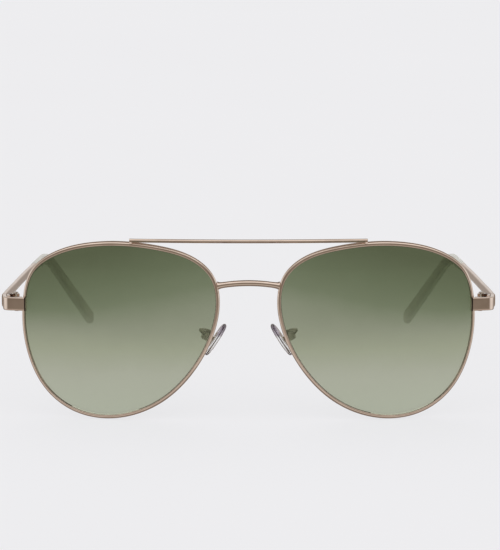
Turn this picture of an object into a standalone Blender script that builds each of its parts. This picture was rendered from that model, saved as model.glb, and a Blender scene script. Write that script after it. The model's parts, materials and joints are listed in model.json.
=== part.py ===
"""Aviator sunglasses: a folding wire-rim front with tinted lenses, sprung pads and two temples.

Units are millimetres in the functions and metres in Blender (MM turns one into the other).
The wearing frame has X towards the wearer's left, Y towards the back of the head and Z up,
with Z = 0 at the middle of the lenses. Left pieces are modelled, right pieces mirror them.
An empty called resting_pose then pitches the whole pair so that both rims and both temple
tips stand on Z = 0, with the middle of the object's box over the origin.
"""

import math

import bmesh
import bpy
import numpy as np
from mathutils import Matrix, Vector

MM = 0.001

# Front: lens size, nose gap and the curve of the front.
LENS_WIDTH = 55.9
LENS_HEIGHT = 52.1
LENS_GAP = 19.0
LENS_BASE_RADIUS = 110.0
LENS_THICKNESS = 1.6
FACE_FORM = math.radians(5.0)
FRONT_TILT = math.radians(7.0)

# Lens outline as shares of half the width (towards the temple) and half the height.
LENS_SHAPE = (
    (0.00, 1.00), (0.32, 0.977), (0.66, 0.868), (0.90, 0.66), (0.985, 0.37), (1.00, 0.08),
    (0.95, -0.30), (0.775, -0.70), (0.516, -0.924), (0.19, -1.00), (-0.118, -0.946),
    (-0.40, -0.795), (-0.73, -0.44), (-0.952, 0.03), (-1.00, 0.34), (-0.945, 0.615),
    (-0.79, 0.795), (-0.42, 0.947),
)

# Rim wire.
RIM_WALL = 1.2
RIM_DEPTH = 1.8
RIM_EDGE_ROUND = 0.35
GROOVE_DEPTH = 0.45
GROOVE_WIDTH = 0.9
RIM_STATIONS = 60
RIM_SPLIT = 0.30

# Clearances.
SEAT_GAP = 0.06
LENS_FIT = 0.08
PIN_FIT = 0.05
KNUCKLE_GAP = 0.10

# Bridge and brow bar.
BRIDGE_HEIGHT = 13.5
BRIDGE_TALL = 1.7
BRIDGE_DEEP = 1.5
BRIDGE_RISE = 1.1
BRIDGE_BULGE = 1.6
BAR_HALF_LENGTH = 34.5
BAR_TALL = 1.1
BAR_DEEP = 1.5
BAR_BOW = 2.0
BAR_SQUARE = 3.0
BAR_FOOT = 0.8
FOOT_INSET = 0.1
BAR_OVERLAP = 0.2

# Endpiece and the block that closes the rim behind it.
ENDPIECE_HEIGHT = 7.65
ENDPIECE_TALL = 3.9
ENDPIECE_THICK = 1.2
ENDPIECE_LAP = 1.15
ENDPIECE_YAW = math.radians(12.0)
ENDPIECE_CORNER = 1.5
ENDPIECE_SQUARE = 6.0
SIDE_OVERHANG = 5.25
LEG_SPLAY = math.radians(8.0)
PLATE_CLEAR = 0.3
BLOCK_WIDTH = 2.5
BLOCK_DEPTH = 2.7
BLOCK_TALL = 3.5
SCREW_FORWARD = 0.15
RIM_SCREW_DIAMETER = 0.9
RIM_SCREW_HEAD = 1.7

# Hinge.
HINGE_BEHIND_RIM = 5.7
HINGE_INBOARD = 2.9
KNUCKLE_DIAMETER = 2.7
KNUCKLE_MIDDLE = 1.3
KNUCKLE_OVERRUN = 0.15
LEAF_THICK = 0.85
FRONT_LEAF_LENGTH = 4.2
TEMPLE_LEAF_LENGTH = 6.2
LEAF_START = 0.9
LEAF_LEAN_SHARE = 0.1
HINGE_SCREW_DIAMETER = 1.1
HINGE_SCREW_HEAD = 2.0
SCREW_HEAD_TALL = 0.5
SLOT_WIDTH = 0.3
SLOT_DEPTH = 0.25
SLOT_OVERRUN = 1.4

# Temple and its clear tip.
TEMPLE_THICK = 1.25
TEMPLE_ROOT_TALL = 3.9
TEMPLE_BLADE_TALL = 2.7
TEMPLE_TAPER_LENGTH = 26.0
TEMPLE_STEP_OUT = 0.25
BLADE_SQUARE = 4.0
TEMPLE_STRAIGHT = 85.5
TEMPLE_BEND_RADIUS = 22.0
BEND_MARGIN = 1.9
TEMPLE_TIP_LENGTH = 40.0
TIP_DROP_ANGLE = math.radians(37.2)
LEAN_AT_HINGE = math.radians(0.8)
LEAN_AT_BEND = math.radians(5.2)
LEAN_AT_TIP = math.radians(15.0)
SLEEVE_START = 68.0
SLEEVE_THICK = (2.6, 3.0)
SLEEVE_TALL = (3.6, 5.2)
SLEEVE_SQUARE = 2.6
CORE_THICK = 1.0
CORE_TALL = 1.8
CORE_END_WALL = 3.0
CORE_FIT = 0.10

# Nose pad, its metal core, box, screw and arm.
PAD_LENGTH = 12.0
PAD_WIDTH = 7.2
PAD_THICK = 2.0
PAD_SLANT = math.radians(34.0)
PAD_SPLAY = math.radians(10.0)
PAD_BEHIND_RIM = 7.8
PAD_BELOW_MIDDLE = 4.0
PAD_HALF_SPACING = 9.9
PAD_SQUARE = 2.3
PAD_LAYERS = ((1.0, 0.86), (0.6, 0.97), (0.0, 1.0), (-0.6, 0.94), (-1.0, 0.72))
POCKET_DEPTH = 0.7
CORE_PLATE = (5.0, 3.0, 0.5)
STUD_WIDE = 1.1
STUD_LONG = 1.3
PIVOT_OUT = 2.6
STUD_PAST_PIVOT = 0.4
BOX_SIZE = (2.6, 2.9, 2.5)
BOX_WALL = 0.55
BOX_NEAR_PAD = 1.65
PAD_SCREW_DIAMETER = 0.8
PAD_SCREW_HEAD = 1.5
PAD_SCREW_HEAD_TALL = 0.4
ARM_DIAMETER = 1.0
ARM_ROOT_ABOVE_PAD = 5.6
ARM_ROOT_BACK = 0.1
ARM_LEAVES = (0.15, 1.6, 0.1)
ARM_MIDDLE = 0.45
ARM_LOOP = 1.9
ARM_LIFT = 1.1
ARM_CROWN = 1.5
ARM_RETURN = 1.3
ARM_RETURN_SIDE = 0.3

SIDES = (("left", 1.0), ("right", -1.0))


# ---------------------------------------------------------------- scene and materials


def clear_scene():
    for item in list(bpy.data.objects):
        bpy.data.objects.remove(item, do_unlink=True)


def principled(name, colour, metallic, roughness, transmission=0.0):
    material = bpy.data.materials.new(name)
    material.use_nodes = True
    shader = material.node_tree.nodes["Principled BSDF"]
    shader.inputs["Base Color"].default_value = (*colour, 1.0)
    shader.inputs["Metallic"].default_value = metallic
    shader.inputs["Roughness"].default_value = roughness
    shader.inputs["Transmission Weight"].default_value = transmission
    material.diffuse_color = (*colour, 1.0)
    return material


def metal_material(name):
    return principled(name, (0.62, 0.49, 0.39), 1.0, 0.18)


def lens_material(name):
    return principled(name, (0.24, 0.29, 0.18), 0.0, 0.05, 0.6)


def clear_material(name):
    return principled(name, (0.86, 0.88, 0.90), 0.0, 0.08, 0.8)


def screw_material(name):
    return principled(name, (0.66, 0.60, 0.54), 1.0, 0.28)


# ---------------------------------------------------------------- mesh helpers


def skin(mesh, rings, closed=False):
    """Joins rings that have the same number of points, and caps the two ends of an open run."""
    loops = [[mesh.verts.new(point) for point in ring] for ring in rings]
    pairs = list(zip(loops, loops[1:]))
    if closed:
        pairs.append((loops[-1], loops[0]))
    for first, second in pairs:
        count = len(first)
        for i in range(count):
            j = (i + 1) % count
            mesh.faces.new((first[i], first[j], second[j], second[i]))
    if not closed:
        mesh.faces.new(loops[0])
        mesh.faces.new(loops[-1])


def box(mesh, low, high):
    size = [b - a for a, b in zip(low, high)]
    middle = [(a + b) / 2 for a, b in zip(low, high)]
    place = Matrix.Translation(middle) @ Matrix.Diagonal((*size, 1.0))
    bmesh.ops.create_cube(mesh, size=1.0, matrix=place)


def rod(mesh, start, end, diameter, sides=16):
    start, end = Vector(start), Vector(end)
    along = end - start
    turn = along.to_track_quat("Z", "Y").to_matrix().to_4x4()
    place = Matrix.Translation((start + end) / 2) @ turn
    bmesh.ops.create_cone(
        mesh, cap_ends=True, segments=sides, radius1=diameter / 2, radius2=diameter / 2,
        depth=along.length, matrix=place,
    )


def oval(centre, side, up, half_side, half_up, count, squareness=2.0):
    """A ring of points on a superellipse: squareness 2 is an ellipse, more is squarer."""
    ring = []
    for i in range(count):
        angle = 2 * math.pi * (i + 0.5) / count
        c, s = math.cos(angle), math.sin(angle)
        reach_side = half_side * math.copysign(abs(c) ** (2 / squareness), c)
        reach_up = half_up * math.copysign(abs(s) ** (2 / squareness), s)
        ring.append(Vector(centre) + Vector(side) * reach_side + Vector(up) * reach_up)
    return ring


def placed(mesh, frame):
    bmesh.ops.transform(mesh, matrix=frame, verts=mesh.verts)


def new_object(name, build, side, pivot, material=None, frame=None):
    """Runs build on an empty mesh, mirrors it for the right side and hangs it on the pivot."""
    mesh = bmesh.new()
    build(mesh)
    if frame is not None:
        placed(mesh, frame)
    bmesh.ops.recalc_face_normals(mesh, faces=mesh.faces)
    if mesh.calc_volume(signed=True) < 0:
        bmesh.ops.reverse_faces(mesh, faces=mesh.faces)
    if side < 0:
        placed(mesh, Matrix.Diagonal((-1.0, 1.0, 1.0, 1.0)))
        bmesh.ops.reverse_faces(mesh, faces=mesh.faces)
    placed(mesh, Matrix.Scale(MM, 4) @ Matrix.Translation(-pivot["at"]))
    data = bpy.data.meshes.new(name)
    mesh.to_mesh(data)
    mesh.free()
    data.shade_smooth()
    data.set_sharp_from_angle(angle=math.radians(40))
    item = bpy.data.objects.new(name, data)
    bpy.context.collection.objects.link(item)
    item.parent = pivot["empty"]
    if material is not None:
        data.materials.append(material(name + "_finish"))
    return item


def combine(target, name, build, side, pivot, operation, frame=None):
    """Adds a hidden tool object and joins it to the target or cuts it away."""
    tool = new_object(name, build, side, pivot, frame=frame)
    tool.hide_render = True
    tool.display_type = "WIRE"
    modifier = target.modifiers.new(name, "BOOLEAN")
    modifier.operation = operation
    modifier.solver = "EXACT"
    modifier.object = tool


def new_pivot(name, at, side, parent=None):
    """An empty on a joint's axis; parts made on it have their origin there."""
    place = Vector((at[0] * side, at[1], at[2]))
    empty = bpy.data.objects.new(name, None)
    bpy.context.collection.objects.link(empty)
    empty.empty_display_size = 0.005
    empty.location = place * MM
    if parent is not None:
        empty.parent = parent["empty"]
    return {"empty": empty, "at": place}


# ---------------------------------------------------------------- the curve of the front


def lens_sag(u, v=0.0):
    return LENS_BASE_RADIUS - math.sqrt(LENS_BASE_RADIUS**2 - u * u - v * v)


def lens_centre_x():
    half = LENS_WIDTH / 2
    return LENS_GAP / 2 + half * math.cos(FACE_FORM) + lens_sag(half) * math.sin(FACE_FORM)


def front_point(u, v, n=0.0):
    """The point u towards the temple and v up on the lens curve, n in front of it."""
    out = Vector((math.cos(FACE_FORM), math.sin(FACE_FORM), 0.0))
    ahead_level = Vector((math.sin(FACE_FORM), -math.cos(FACE_FORM), 0.0))
    up_level = Vector((0.0, 0.0, 1.0))
    up = up_level * math.cos(FRONT_TILT) + ahead_level * math.sin(FRONT_TILT)
    ahead = ahead_level * math.cos(FRONT_TILT) - up_level * math.sin(FRONT_TILT)
    origin = Vector((lens_centre_x(), 0.0, 0.0))
    on_curve = origin + out * u + up * v - ahead * lens_sag(u, v)
    curve_centre = origin - ahead * LENS_BASE_RADIUS
    return on_curve + (on_curve - curve_centre).normalized() * n


def smooth_outline(samples=1440):
    """Closed natural cubic curve through LENS_SHAPE: points and outward normals."""
    points = np.array(LENS_SHAPE) * (LENS_WIDTH / 2, LENS_HEIGHT / 2)
    count = len(points)
    spans = np.linalg.norm(np.roll(points, -1, 0) - points, axis=1)
    before = np.roll(spans, 1)
    system = np.zeros((count, count))
    right = np.zeros((count, 2))
    for i in range(count):
        h0, h1 = before[i], spans[i]
        last, after = (i - 1) % count, (i + 1) % count
        system[i, last] += h0
        system[i, i] += 2 * (h0 + h1)
        system[i, after] += h1
        right[i] = 6 * ((points[after] - points[i]) / h1 - (points[i] - points[last]) / h0)
    bend = np.linalg.solve(system, right)
    starts = np.concatenate([[0.0], np.cumsum(spans)])
    where = np.linspace(0.0, starts[-1], samples, endpoint=False)
    index = np.searchsorted(starts, where, side="right") - 1
    after = (index + 1) % count
    h = spans[index][:, None]
    t = (where - starts[index])[:, None]
    curve = (
        bend[index] * (h - t) ** 3 / (6 * h)
        + bend[after] * t**3 / (6 * h)
        + (points[index] / h - bend[index] * h / 6) * (h - t)
        + (points[after] / h - bend[after] * h / 6) * t
    )
    ahead = np.roll(curve, -1, 0) - np.roll(curve, 1, 0)
    ahead /= np.linalg.norm(ahead, axis=1)[:, None]
    normal = np.stack([-ahead[:, 1], ahead[:, 0]], axis=1)
    if (normal * curve).sum() < 0:
        normal = -normal
    return curve, normal


def rim_stations():
    """Evenly spaced outline points and normals, from just above the split round to just below."""
    curve, normal = smooth_outline()
    temple_side = np.where(curve[:, 0] > 0)[0]
    start = temple_side[np.argmin(np.abs(curve[temple_side, 1] - ENDPIECE_HEIGHT))]
    curve, normal = np.roll(curve, -start, 0), np.roll(normal, -start, 0)
    if curve[10, 1] < curve[0, 1]:
        curve, normal = np.roll(curve[::-1], 1, 0), np.roll(normal[::-1], 1, 0)
    closed = np.vstack([curve, curve[:1]])
    travel = np.concatenate([[0.0], np.cumsum(np.linalg.norm(np.diff(closed, axis=0), axis=1))])
    picks = np.linspace(RIM_SPLIT / 2, travel[-1] - RIM_SPLIT / 2, RIM_STATIONS)
    closed_normal = np.vstack([normal, normal[:1]])
    stations = []
    for pick in picks:
        place = [np.interp(pick, travel, closed[:, k]) for k in (0, 1)]
        facing = [np.interp(pick, travel, closed_normal[:, k]) for k in (0, 1)]
        size = math.hypot(*facing)
        stations.append((*place, facing[0] / size, facing[1] / size))
    return stations


def section_at(station, profile):
    u, v, mu, mv = station
    return [front_point(u + mu * r, v + mv * r, n) for r, n in profile]


def rim_edge(height, temple_side):
    """The lens edge (u, v) at a height above the lens middle, on the temple or the nose side."""
    curve, _ = smooth_outline()
    chosen = curve[curve[:, 0] > 0] if temple_side else curve[curve[:, 0] < 0]
    return chosen[np.argmin(np.abs(chosen[:, 1] - height))]


def rim_span_x(low, high, temple_side):
    """Innermost and outermost X of the rim's outside between two heights."""
    reach = []
    for height in np.linspace(low, high, 9):
        u, v = rim_edge(height, temple_side)
        outer = u + RIM_WALL if temple_side else u - RIM_WALL
        reach += [front_point(outer, v, n).x for n in (-RIM_DEPTH / 2, 0.0, RIM_DEPTH / 2)]
    return min(reach), max(reach)


# ---------------------------------------------------------------- rims and lenses


def rim_profile():
    half = RIM_DEPTH / 2
    groove = GROOVE_WIDTH / 2
    return (
        (0.0, half), (RIM_WALL - RIM_EDGE_ROUND, half), (RIM_WALL, half - RIM_EDGE_ROUND),
        (RIM_WALL, RIM_EDGE_ROUND - half), (RIM_WALL - RIM_EDGE_ROUND, -half), (0.0, -half),
        (0.0, -groove), (GROOVE_DEPTH, 0.0), (0.0, groove),
    )


def build_rim(mesh):
    skin(mesh, [section_at(station, rim_profile()) for station in rim_stations()])


def build_lens(mesh):
    """Two domed faces and a bevelled edge that fits the groove of the rim."""
    half = LENS_THICKNESS / 2
    groove = GROOVE_WIDTH / 2
    edge = ((-LENS_FIT, half), (-LENS_FIT, groove), (GROOVE_DEPTH - LENS_FIT, 0.0),
            (-LENS_FIT, -groove), (-LENS_FIT, -half))
    stations = rim_stations()
    shares = (0.35, 0.7)

    def dome(share, n):
        return [front_point(u * share, v * share, n) for u, v, _, _ in stations]

    rings = [dome(share, half) for share in shares]
    for r, n in edge:
        rings.append([section_at(station, ((r, n),))[0] for station in stations])
    rings += [dome(share, -half) for share in reversed(shares)]
    skin(mesh, rings)


# ---------------------------------------------------------------- bridge and brow bar


def bridge_end_x():
    half = BRIDGE_TALL / 2
    return rim_span_x(BRIDGE_HEIGHT - half, BRIDGE_HEIGHT + half, False)[0] - SEAT_GAP


def build_bridge(mesh):
    u, v = rim_edge(BRIDGE_HEIGHT, False)
    end_y = front_point(u - RIM_WALL, v).y
    end_z = front_point(u - RIM_WALL, v).z
    end_x = bridge_end_x()
    rings = []
    for share in np.linspace(-1.0, 1.0, 17):
        arch = 1.0 - share * share
        centre = (share * end_x, end_y - BRIDGE_BULGE * arch, end_z + BRIDGE_RISE * arch)
        rings.append(oval(centre, (0, 1, 0), (0, 0, 1), BRIDGE_DEEP / 2, BRIDGE_TALL / 2, 12))
    skin(mesh, rings)


def bar_end_place():
    """Centre of the bar's end: in front of and above the top edge of the rim."""
    curve, _ = smooth_outline()
    level = [front_point(u, v).x for u, v in curve[curve[:, 1] > 0]]
    top = curve[curve[:, 1] > 0][int(np.argmin(np.abs(np.array(level) - BAR_HALF_LENGTH)))]
    corner = front_point(top[0], top[1] + RIM_WALL - RIM_EDGE_ROUND, RIM_DEPTH / 2)
    y = corner.y - SEAT_GAP - BAR_DEEP / 2
    z = front_point(top[0], top[1] + RIM_WALL, 0.0).z + BAR_TALL * (0.5 - BAR_OVERLAP)
    return y, z, corner


def build_bar(mesh):
    end_y, end_z, _ = bar_end_place()
    rings = []
    for share in np.linspace(-1.0, 1.0, 17):
        bow = BAR_BOW * (1.0 - share * share)
        centre = (share * BAR_HALF_LENGTH, end_y - bow, end_z)
        rings.append(oval(centre, (0, 1, 0), (0, 0, 1), BAR_DEEP / 2, BAR_TALL / 2, 8, BAR_SQUARE))
    skin(mesh, rings)


def build_bar_foot(mesh):
    """A small foot from the bar's end down the front of the rim."""
    end_y, end_z, corner = bar_end_place()
    rim_lean = BAR_FOOT * math.tan(FRONT_TILT + FACE_FORM)
    low = (BAR_HALF_LENGTH - BAR_FOOT, end_y - BAR_DEEP / 4, corner.z - BAR_FOOT)
    high = (BAR_HALF_LENGTH - FOOT_INSET, corner.y - SEAT_GAP - rim_lean, end_z)
    box(mesh, low, high)


# ---------------------------------------------------------------- endpiece, block and hinge


def side_places():
    """Shared places of the endpiece, block and hinge, in X and Y, with their height."""
    u, v = rim_edge(ENDPIECE_HEIGHT, True)
    rim_front = front_point(u, v, RIM_DEPTH / 2)
    rim_out = rim_span_x(ENDPIECE_HEIGHT - BLOCK_TALL / 2, ENDPIECE_HEIGHT + BLOCK_TALL / 2, True)[1]
    outer = rim_out + SIDE_OVERHANG
    slope = math.tan(ENDPIECE_YAW)
    inner_end = rim_out - ENDPIECE_LAP
    plate_y = rim_front.y - SEAT_GAP - ENDPIECE_THICK / 2 / math.cos(ENDPIECE_YAW) - slope * PLATE_CLEAR
    return {
        "z": front_point(u, v).z,
        "rim_out": rim_out,
        "outer": outer,
        "inner_end": inner_end,
        "plate_y": plate_y,
        "slope": slope,
        "axis_x": outer - HINGE_INBOARD,
        "axis_y": front_point(u, v).y + HINGE_BEHIND_RIM,
    }


def leg_inner_x(y):
    """Inside face of the endpiece's return leg, which splays outward towards the hinge."""
    p = side_places()
    corner_y = p["plate_y"] + (p["outer"] - p["inner_end"]) * p["slope"]
    thick = ENDPIECE_THICK / math.cos(LEG_SPLAY)
    return p["outer"] - thick + (y - corner_y) * math.tan(LEG_SPLAY)


def temple_outer_x():
    thick = ENDPIECE_THICK / math.cos(LEG_SPLAY)
    return leg_inner_x(side_places()["axis_y"]) + thick + TEMPLE_STEP_OUT


def build_endpiece(mesh):
    """A flat strip that runs outward in front of the rim, turns the corner and runs back."""
    p = side_places()
    end_y = p["axis_y"] - SEAT_GAP / 2
    half_thick = ENDPIECE_THICK / math.cos(LEG_SPLAY) / 2
    leg_end = Vector((leg_inner_x(end_y) + half_thick, end_y, p["z"]))
    turn = math.pi / 2 - ENDPIECE_YAW - LEG_SPLAY
    reach = ENDPIECE_CORNER * math.tan(turn / 2)
    leg_x = p["outer"] - half_thick
    corner = Vector((leg_x, p["plate_y"] + (leg_x - p["inner_end"]) * p["slope"], p["z"]))
    along = Vector((math.cos(ENDPIECE_YAW), math.sin(ENDPIECE_YAW), 0.0))
    side = Vector((-along.y, along.x, 0.0))
    arc_start = corner - along * reach
    arc_centre = arc_start + side * ENDPIECE_CORNER
    route = [(Vector((p["inner_end"], p["plate_y"], p["z"])), side)]
    for share in np.linspace(0.0, 1.0, 7):
        swing = Matrix.Rotation(turn * share, 3, "Z")
        route.append((arc_centre - swing @ side * ENDPIECE_CORNER, swing @ side))
    route.append((leg_end, Vector((-1.0, 0.0, 0.0))))
    rings = []
    thick, tall = ENDPIECE_THICK / 2, ENDPIECE_TALL / 2
    for centre, across in route:
        rings.append(oval(centre, across, (0, 0, 1), thick, tall, 12, ENDPIECE_SQUARE))
    skin(mesh, rings)


def block_prism(mesh, low_z, high_z):
    p = side_places()
    inner = p["rim_out"] + SEAT_GAP
    outer = inner + BLOCK_WIDTH
    half = ENDPIECE_THICK / 2 / math.cos(ENDPIECE_YAW) + SEAT_GAP
    front = [p["plate_y"] + half + (x - p["inner_end"]) * p["slope"] for x in (inner, outer)]
    back = front[0] + BLOCK_DEPTH
    plan = ((inner, front[0]), (outer, front[1]), (outer, back), (inner, back))
    skin(mesh, [[Vector((x, y, z)) for x, y in plan] for z in (low_z, high_z)])


def block_middle():
    p = side_places()
    x = p["rim_out"] + SEAT_GAP + BLOCK_WIDTH / 2
    half = ENDPIECE_THICK / 2 / math.cos(ENDPIECE_YAW) + SEAT_GAP
    y = p["plate_y"] + half + (x - p["inner_end"]) * p["slope"] + BLOCK_DEPTH / 2 - SCREW_FORWARD
    return x, y, p["z"]


def build_block_upper(mesh):
    z = side_places()["z"]
    block_prism(mesh, z + RIM_SPLIT / 2, z + BLOCK_TALL / 2)


def build_block_lower(mesh):
    z = side_places()["z"]
    block_prism(mesh, z - BLOCK_TALL / 2, z - RIM_SPLIT / 2)


def build_rim_screw_bore(mesh):
    x, y, z = block_middle()
    reach = BLOCK_TALL
    rod(mesh, (x, y, z - reach), (x, y, z + reach), RIM_SCREW_DIAMETER + 2 * PIN_FIT)


def slotted_screw(mesh, start, end, diameter, head, head_tall):
    """Shank from start to end with a head beyond end, as two stacked turned lengths."""
    start, end = Vector(start), Vector(end)
    along = (end - start).normalized()
    turn = along.to_track_quat("Z", "Y").to_matrix()
    across, over = turn.col[0], turn.col[1]
    lengths = ((start, diameter), (end, diameter), (end, head), (end + along * head_tall, head))
    skin(mesh, [oval(at, across, over, size / 2, size / 2, 16) for at, size in lengths])


def slot_cutter(mesh, start, end, head, head_tall):
    start, end = Vector(start), Vector(end)
    along = (end - start).normalized()
    top = end + along * head_tall
    turn = along.to_track_quat("Z", "Y").to_matrix().to_4x4()
    size = Matrix.Diagonal((head * SLOT_OVERRUN, SLOT_WIDTH, 2 * SLOT_DEPTH, 1.0))
    bmesh.ops.create_cube(mesh, size=1.0, matrix=Matrix.Translation(top) @ turn @ size)


def rim_screw_ends():
    x, y, z = block_middle()
    return (x, y, z + BLOCK_TALL / 2), (x, y, z - BLOCK_TALL / 2 - SEAT_GAP)


def hinge_axis():
    p = side_places()
    return Vector((p["axis_x"], p["axis_y"], p["z"]))


def knuckle_bands():
    """Low and high Z of the lower, middle and upper knuckle."""
    z = hinge_axis().z
    half, middle = ENDPIECE_TALL / 2, KNUCKLE_MIDDLE / 2
    return (
        (z - half, z - middle - KNUCKLE_GAP), (z - middle, z + middle),
        (z + middle + KNUCKLE_GAP, z + half),
    )


def build_front_hinge(mesh):
    """The leaf that is soldered inside the endpiece's return leg."""
    axis = hinge_axis()
    plan = []
    for y, inset in ((0.0, 0.0), (1.0, 0.0), (1.0, 1.0), (0.0, 1.0)):
        at_y = axis.y - KNUCKLE_GAP - y * FRONT_LEAF_LENGTH
        plan.append(Vector((leg_inner_x(at_y) - SEAT_GAP - inset * LEAF_THICK, at_y, 0.0)))
    half = ENDPIECE_TALL / 2
    skin(mesh, [[Vector((q.x, q.y, z)) for q in plan] for z in (axis.z - half, axis.z + half)])


def build_front_knuckle(mesh, band):
    axis = hinge_axis()
    low, high = band
    radius = KNUCKLE_DIAMETER / 2
    inside = leg_inner_x(axis.y - radius) - SEAT_GAP - LEAF_THICK / 2
    plan = [Vector((inside, axis.y - KNUCKLE_OVERRUN, 0)), Vector((inside, axis.y - radius, 0))]
    for share in np.linspace(0.0, 1.0, 10):
        angle = math.pi * (1.5 - 1.5 * share)
        plan.append(Vector((axis.x + radius * math.cos(angle), axis.y + radius * math.sin(angle), 0)))
    skin(mesh, [[Vector((q.x, q.y, z)) for q in plan] for z in (low, high)])


def build_hinge_bore(mesh):
    axis = hinge_axis()
    reach = Vector((0, 0, ENDPIECE_TALL))
    rod(mesh, axis - reach, axis + reach, HINGE_SCREW_DIAMETER + 2 * PIN_FIT)


def build_knuckle_room(mesh):
    """Room for the temple's middle knuckle to turn inside the front hinge."""
    axis = hinge_axis()
    reach = Vector((0, 0, KNUCKLE_MIDDLE / 2 + KNUCKLE_GAP))
    rod(mesh, axis - reach, axis + reach, KNUCKLE_DIAMETER + 2 * KNUCKLE_GAP, 24)


def build_temple_hinge(mesh):
    """The leaf that is soldered inside the temple."""
    axis = hinge_axis()
    inside = temple_inner_x() - SEAT_GAP
    half = TEMPLE_BLADE_TALL / 2
    low = (inside - LEAF_THICK, axis.y + LEAF_START, axis.z - half)
    high = (inside, axis.y + TEMPLE_LEAF_LENGTH, axis.z + half)
    box(mesh, low, high)


def build_temple_knuckle(mesh):
    axis = hinge_axis()
    inside = temple_inner_x() - SEAT_GAP - LEAF_THICK / 2
    low, high = knuckle_bands()[1]
    radius = KNUCKLE_DIAMETER / 2
    plan = [Vector((inside, axis.y + radius, 0)), Vector((inside, axis.y + KNUCKLE_GAP, 0))]
    for share in np.linspace(0.0, 1.0, 10):
        angle = math.pi * (-1.5 * share)
        plan.append(Vector((axis.x + radius * math.cos(angle), axis.y + radius * math.sin(angle), 0)))
    skin(mesh, [[Vector((q.x, q.y, z)) for q in plan] for z in (low, high)])


def hinge_screw_ends():
    axis = hinge_axis()
    half = Vector((0, 0, ENDPIECE_TALL / 2))
    return axis - half, axis + half + Vector((0, 0, SEAT_GAP))


# ---------------------------------------------------------------- temple and tip


def temple_inner_x():
    """Inside face of the temple beside its leaf, allowing for its lean along the leaf."""
    lean = math.tan(LEAN_AT_HINGE + LEAF_LEAN_SHARE * LEAN_AT_BEND) * TEMPLE_LEAF_LENGTH
    return temple_outer_x() - TEMPLE_THICK - lean


def temple_length():
    return TEMPLE_STRAIGHT + TEMPLE_BEND_RADIUS * TIP_DROP_ANGLE + TEMPLE_TIP_LENGTH


def temple_frames(distances):
    """Centre, side and up vectors of the temple at distances from its front end."""
    arc = TEMPLE_BEND_RADIUS * TIP_DROP_ANGLE
    at = Vector(hinge_axis())
    at.x = temple_outer_x() - TEMPLE_THICK / 2
    at.y += SEAT_GAP / 2
    frames = []
    travelled = 0.0
    for distance in distances:
        steps = max(1, int(math.ceil((distance - travelled) / 0.5)))
        step = (distance - travelled) / steps
        for k in range(steps + 1):
            s = travelled + step * k
            share = min(max((s - TEMPLE_STRAIGHT) / arc, 0.0), 1.0)
            drop = TIP_DROP_ANGLE * share
            blade = min(s / TEMPLE_STRAIGHT, 1.0)
            lean = LEAN_AT_HINGE + (LEAN_AT_BEND - LEAN_AT_HINGE) * blade
            lean += (LEAN_AT_TIP - LEAN_AT_BEND) * share
            ahead = Vector((-math.sin(lean), math.cos(lean) * math.cos(drop),
                            -math.cos(lean) * math.sin(drop)))
            if k < steps:
                at = at + ahead * step
        travelled = distance
        side = Vector((math.cos(lean), math.sin(lean) * math.cos(drop),
                       -math.sin(lean) * math.sin(drop)))
        up = Vector((0.0, math.sin(drop), math.cos(drop)))
        frames.append((at.copy(), side, up))
    return frames


def even(start, end, count):
    return [start + (end - start) * i / (count - 1) for i in range(count)]


def bend_stations():
    """Distances along the temple that follow its bend closely."""
    arc = TEMPLE_BEND_RADIUS * TIP_DROP_ANGLE
    return even(TEMPLE_STRAIGHT - BEND_MARGIN, TEMPLE_STRAIGHT + arc + BEND_MARGIN, 6)


def build_temple(mesh):
    """The blade, which tapers behind the hinge, and the core wire that the clear tip covers."""
    shoulder = SLEEVE_START - SEAT_GAP
    blade = even(0.0, TEMPLE_TAPER_LENGTH, 5) + even(TEMPLE_TAPER_LENGTH, shoulder, 5)[1:]
    core_end = temple_length() - CORE_END_WALL
    core = [shoulder] + bend_stations() + [core_end]
    rings = []
    for s, (centre, side, up) in zip(blade, temple_frames(blade)):
        taper = min(s / TEMPLE_TAPER_LENGTH, 1.0)
        tall = TEMPLE_ROOT_TALL + (TEMPLE_BLADE_TALL - TEMPLE_ROOT_TALL) * taper
        rings.append(oval(centre, side, up, TEMPLE_THICK / 2, tall / 2, 12, BLADE_SQUARE))
    for centre, side, up in temple_frames(core):
        rings.append(oval(centre, side, up, CORE_THICK / 2, CORE_TALL / 2, 12, BLADE_SQUARE))
    skin(mesh, rings)


def sleeve_size(s):
    share = (s - SLEEVE_START) / (temple_length() - SLEEVE_START)
    thick = SLEEVE_THICK[0] + (SLEEVE_THICK[1] - SLEEVE_THICK[0]) * share
    tall = SLEEVE_TALL[0] + (SLEEVE_TALL[1] - SLEEVE_TALL[0]) * share
    return thick / 2, tall / 2


def build_tip(mesh):
    """A clear sleeve with a blind bore for the core wire and a rounded end."""
    end = temple_length()
    core_end = end - CORE_END_WALL + CORE_FIT
    inner = [SLEEVE_START] + bend_stations() + [core_end]
    rings = []
    for centre, side, up in reversed(temple_frames(inner)):
        half_side, half_up = CORE_THICK / 2 + CORE_FIT, CORE_TALL / 2 + CORE_FIT
        rings.append(oval(centre, side, up, half_side, half_up, 12, BLADE_SQUARE))
    round_length = sleeve_size(end)[1]
    outer = [SLEEVE_START] + bend_stations()
    outer += [end - round_length]
    scales = [1.0] * len(outer)
    for angle in (30, 55, 75):
        outer.append(end - round_length + round_length * math.sin(math.radians(angle)))
        scales.append(math.cos(math.radians(angle)))
    for s, scale, (centre, side, up) in zip(outer, scales, temple_frames(outer)):
        half_side, half_up = sleeve_size(s)
        rings.append(oval(centre, side, up, half_side * scale, half_up * scale, 12, SLEEVE_SQUARE))
    skin(mesh, rings)


# ---------------------------------------------------------------- nose pads


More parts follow.
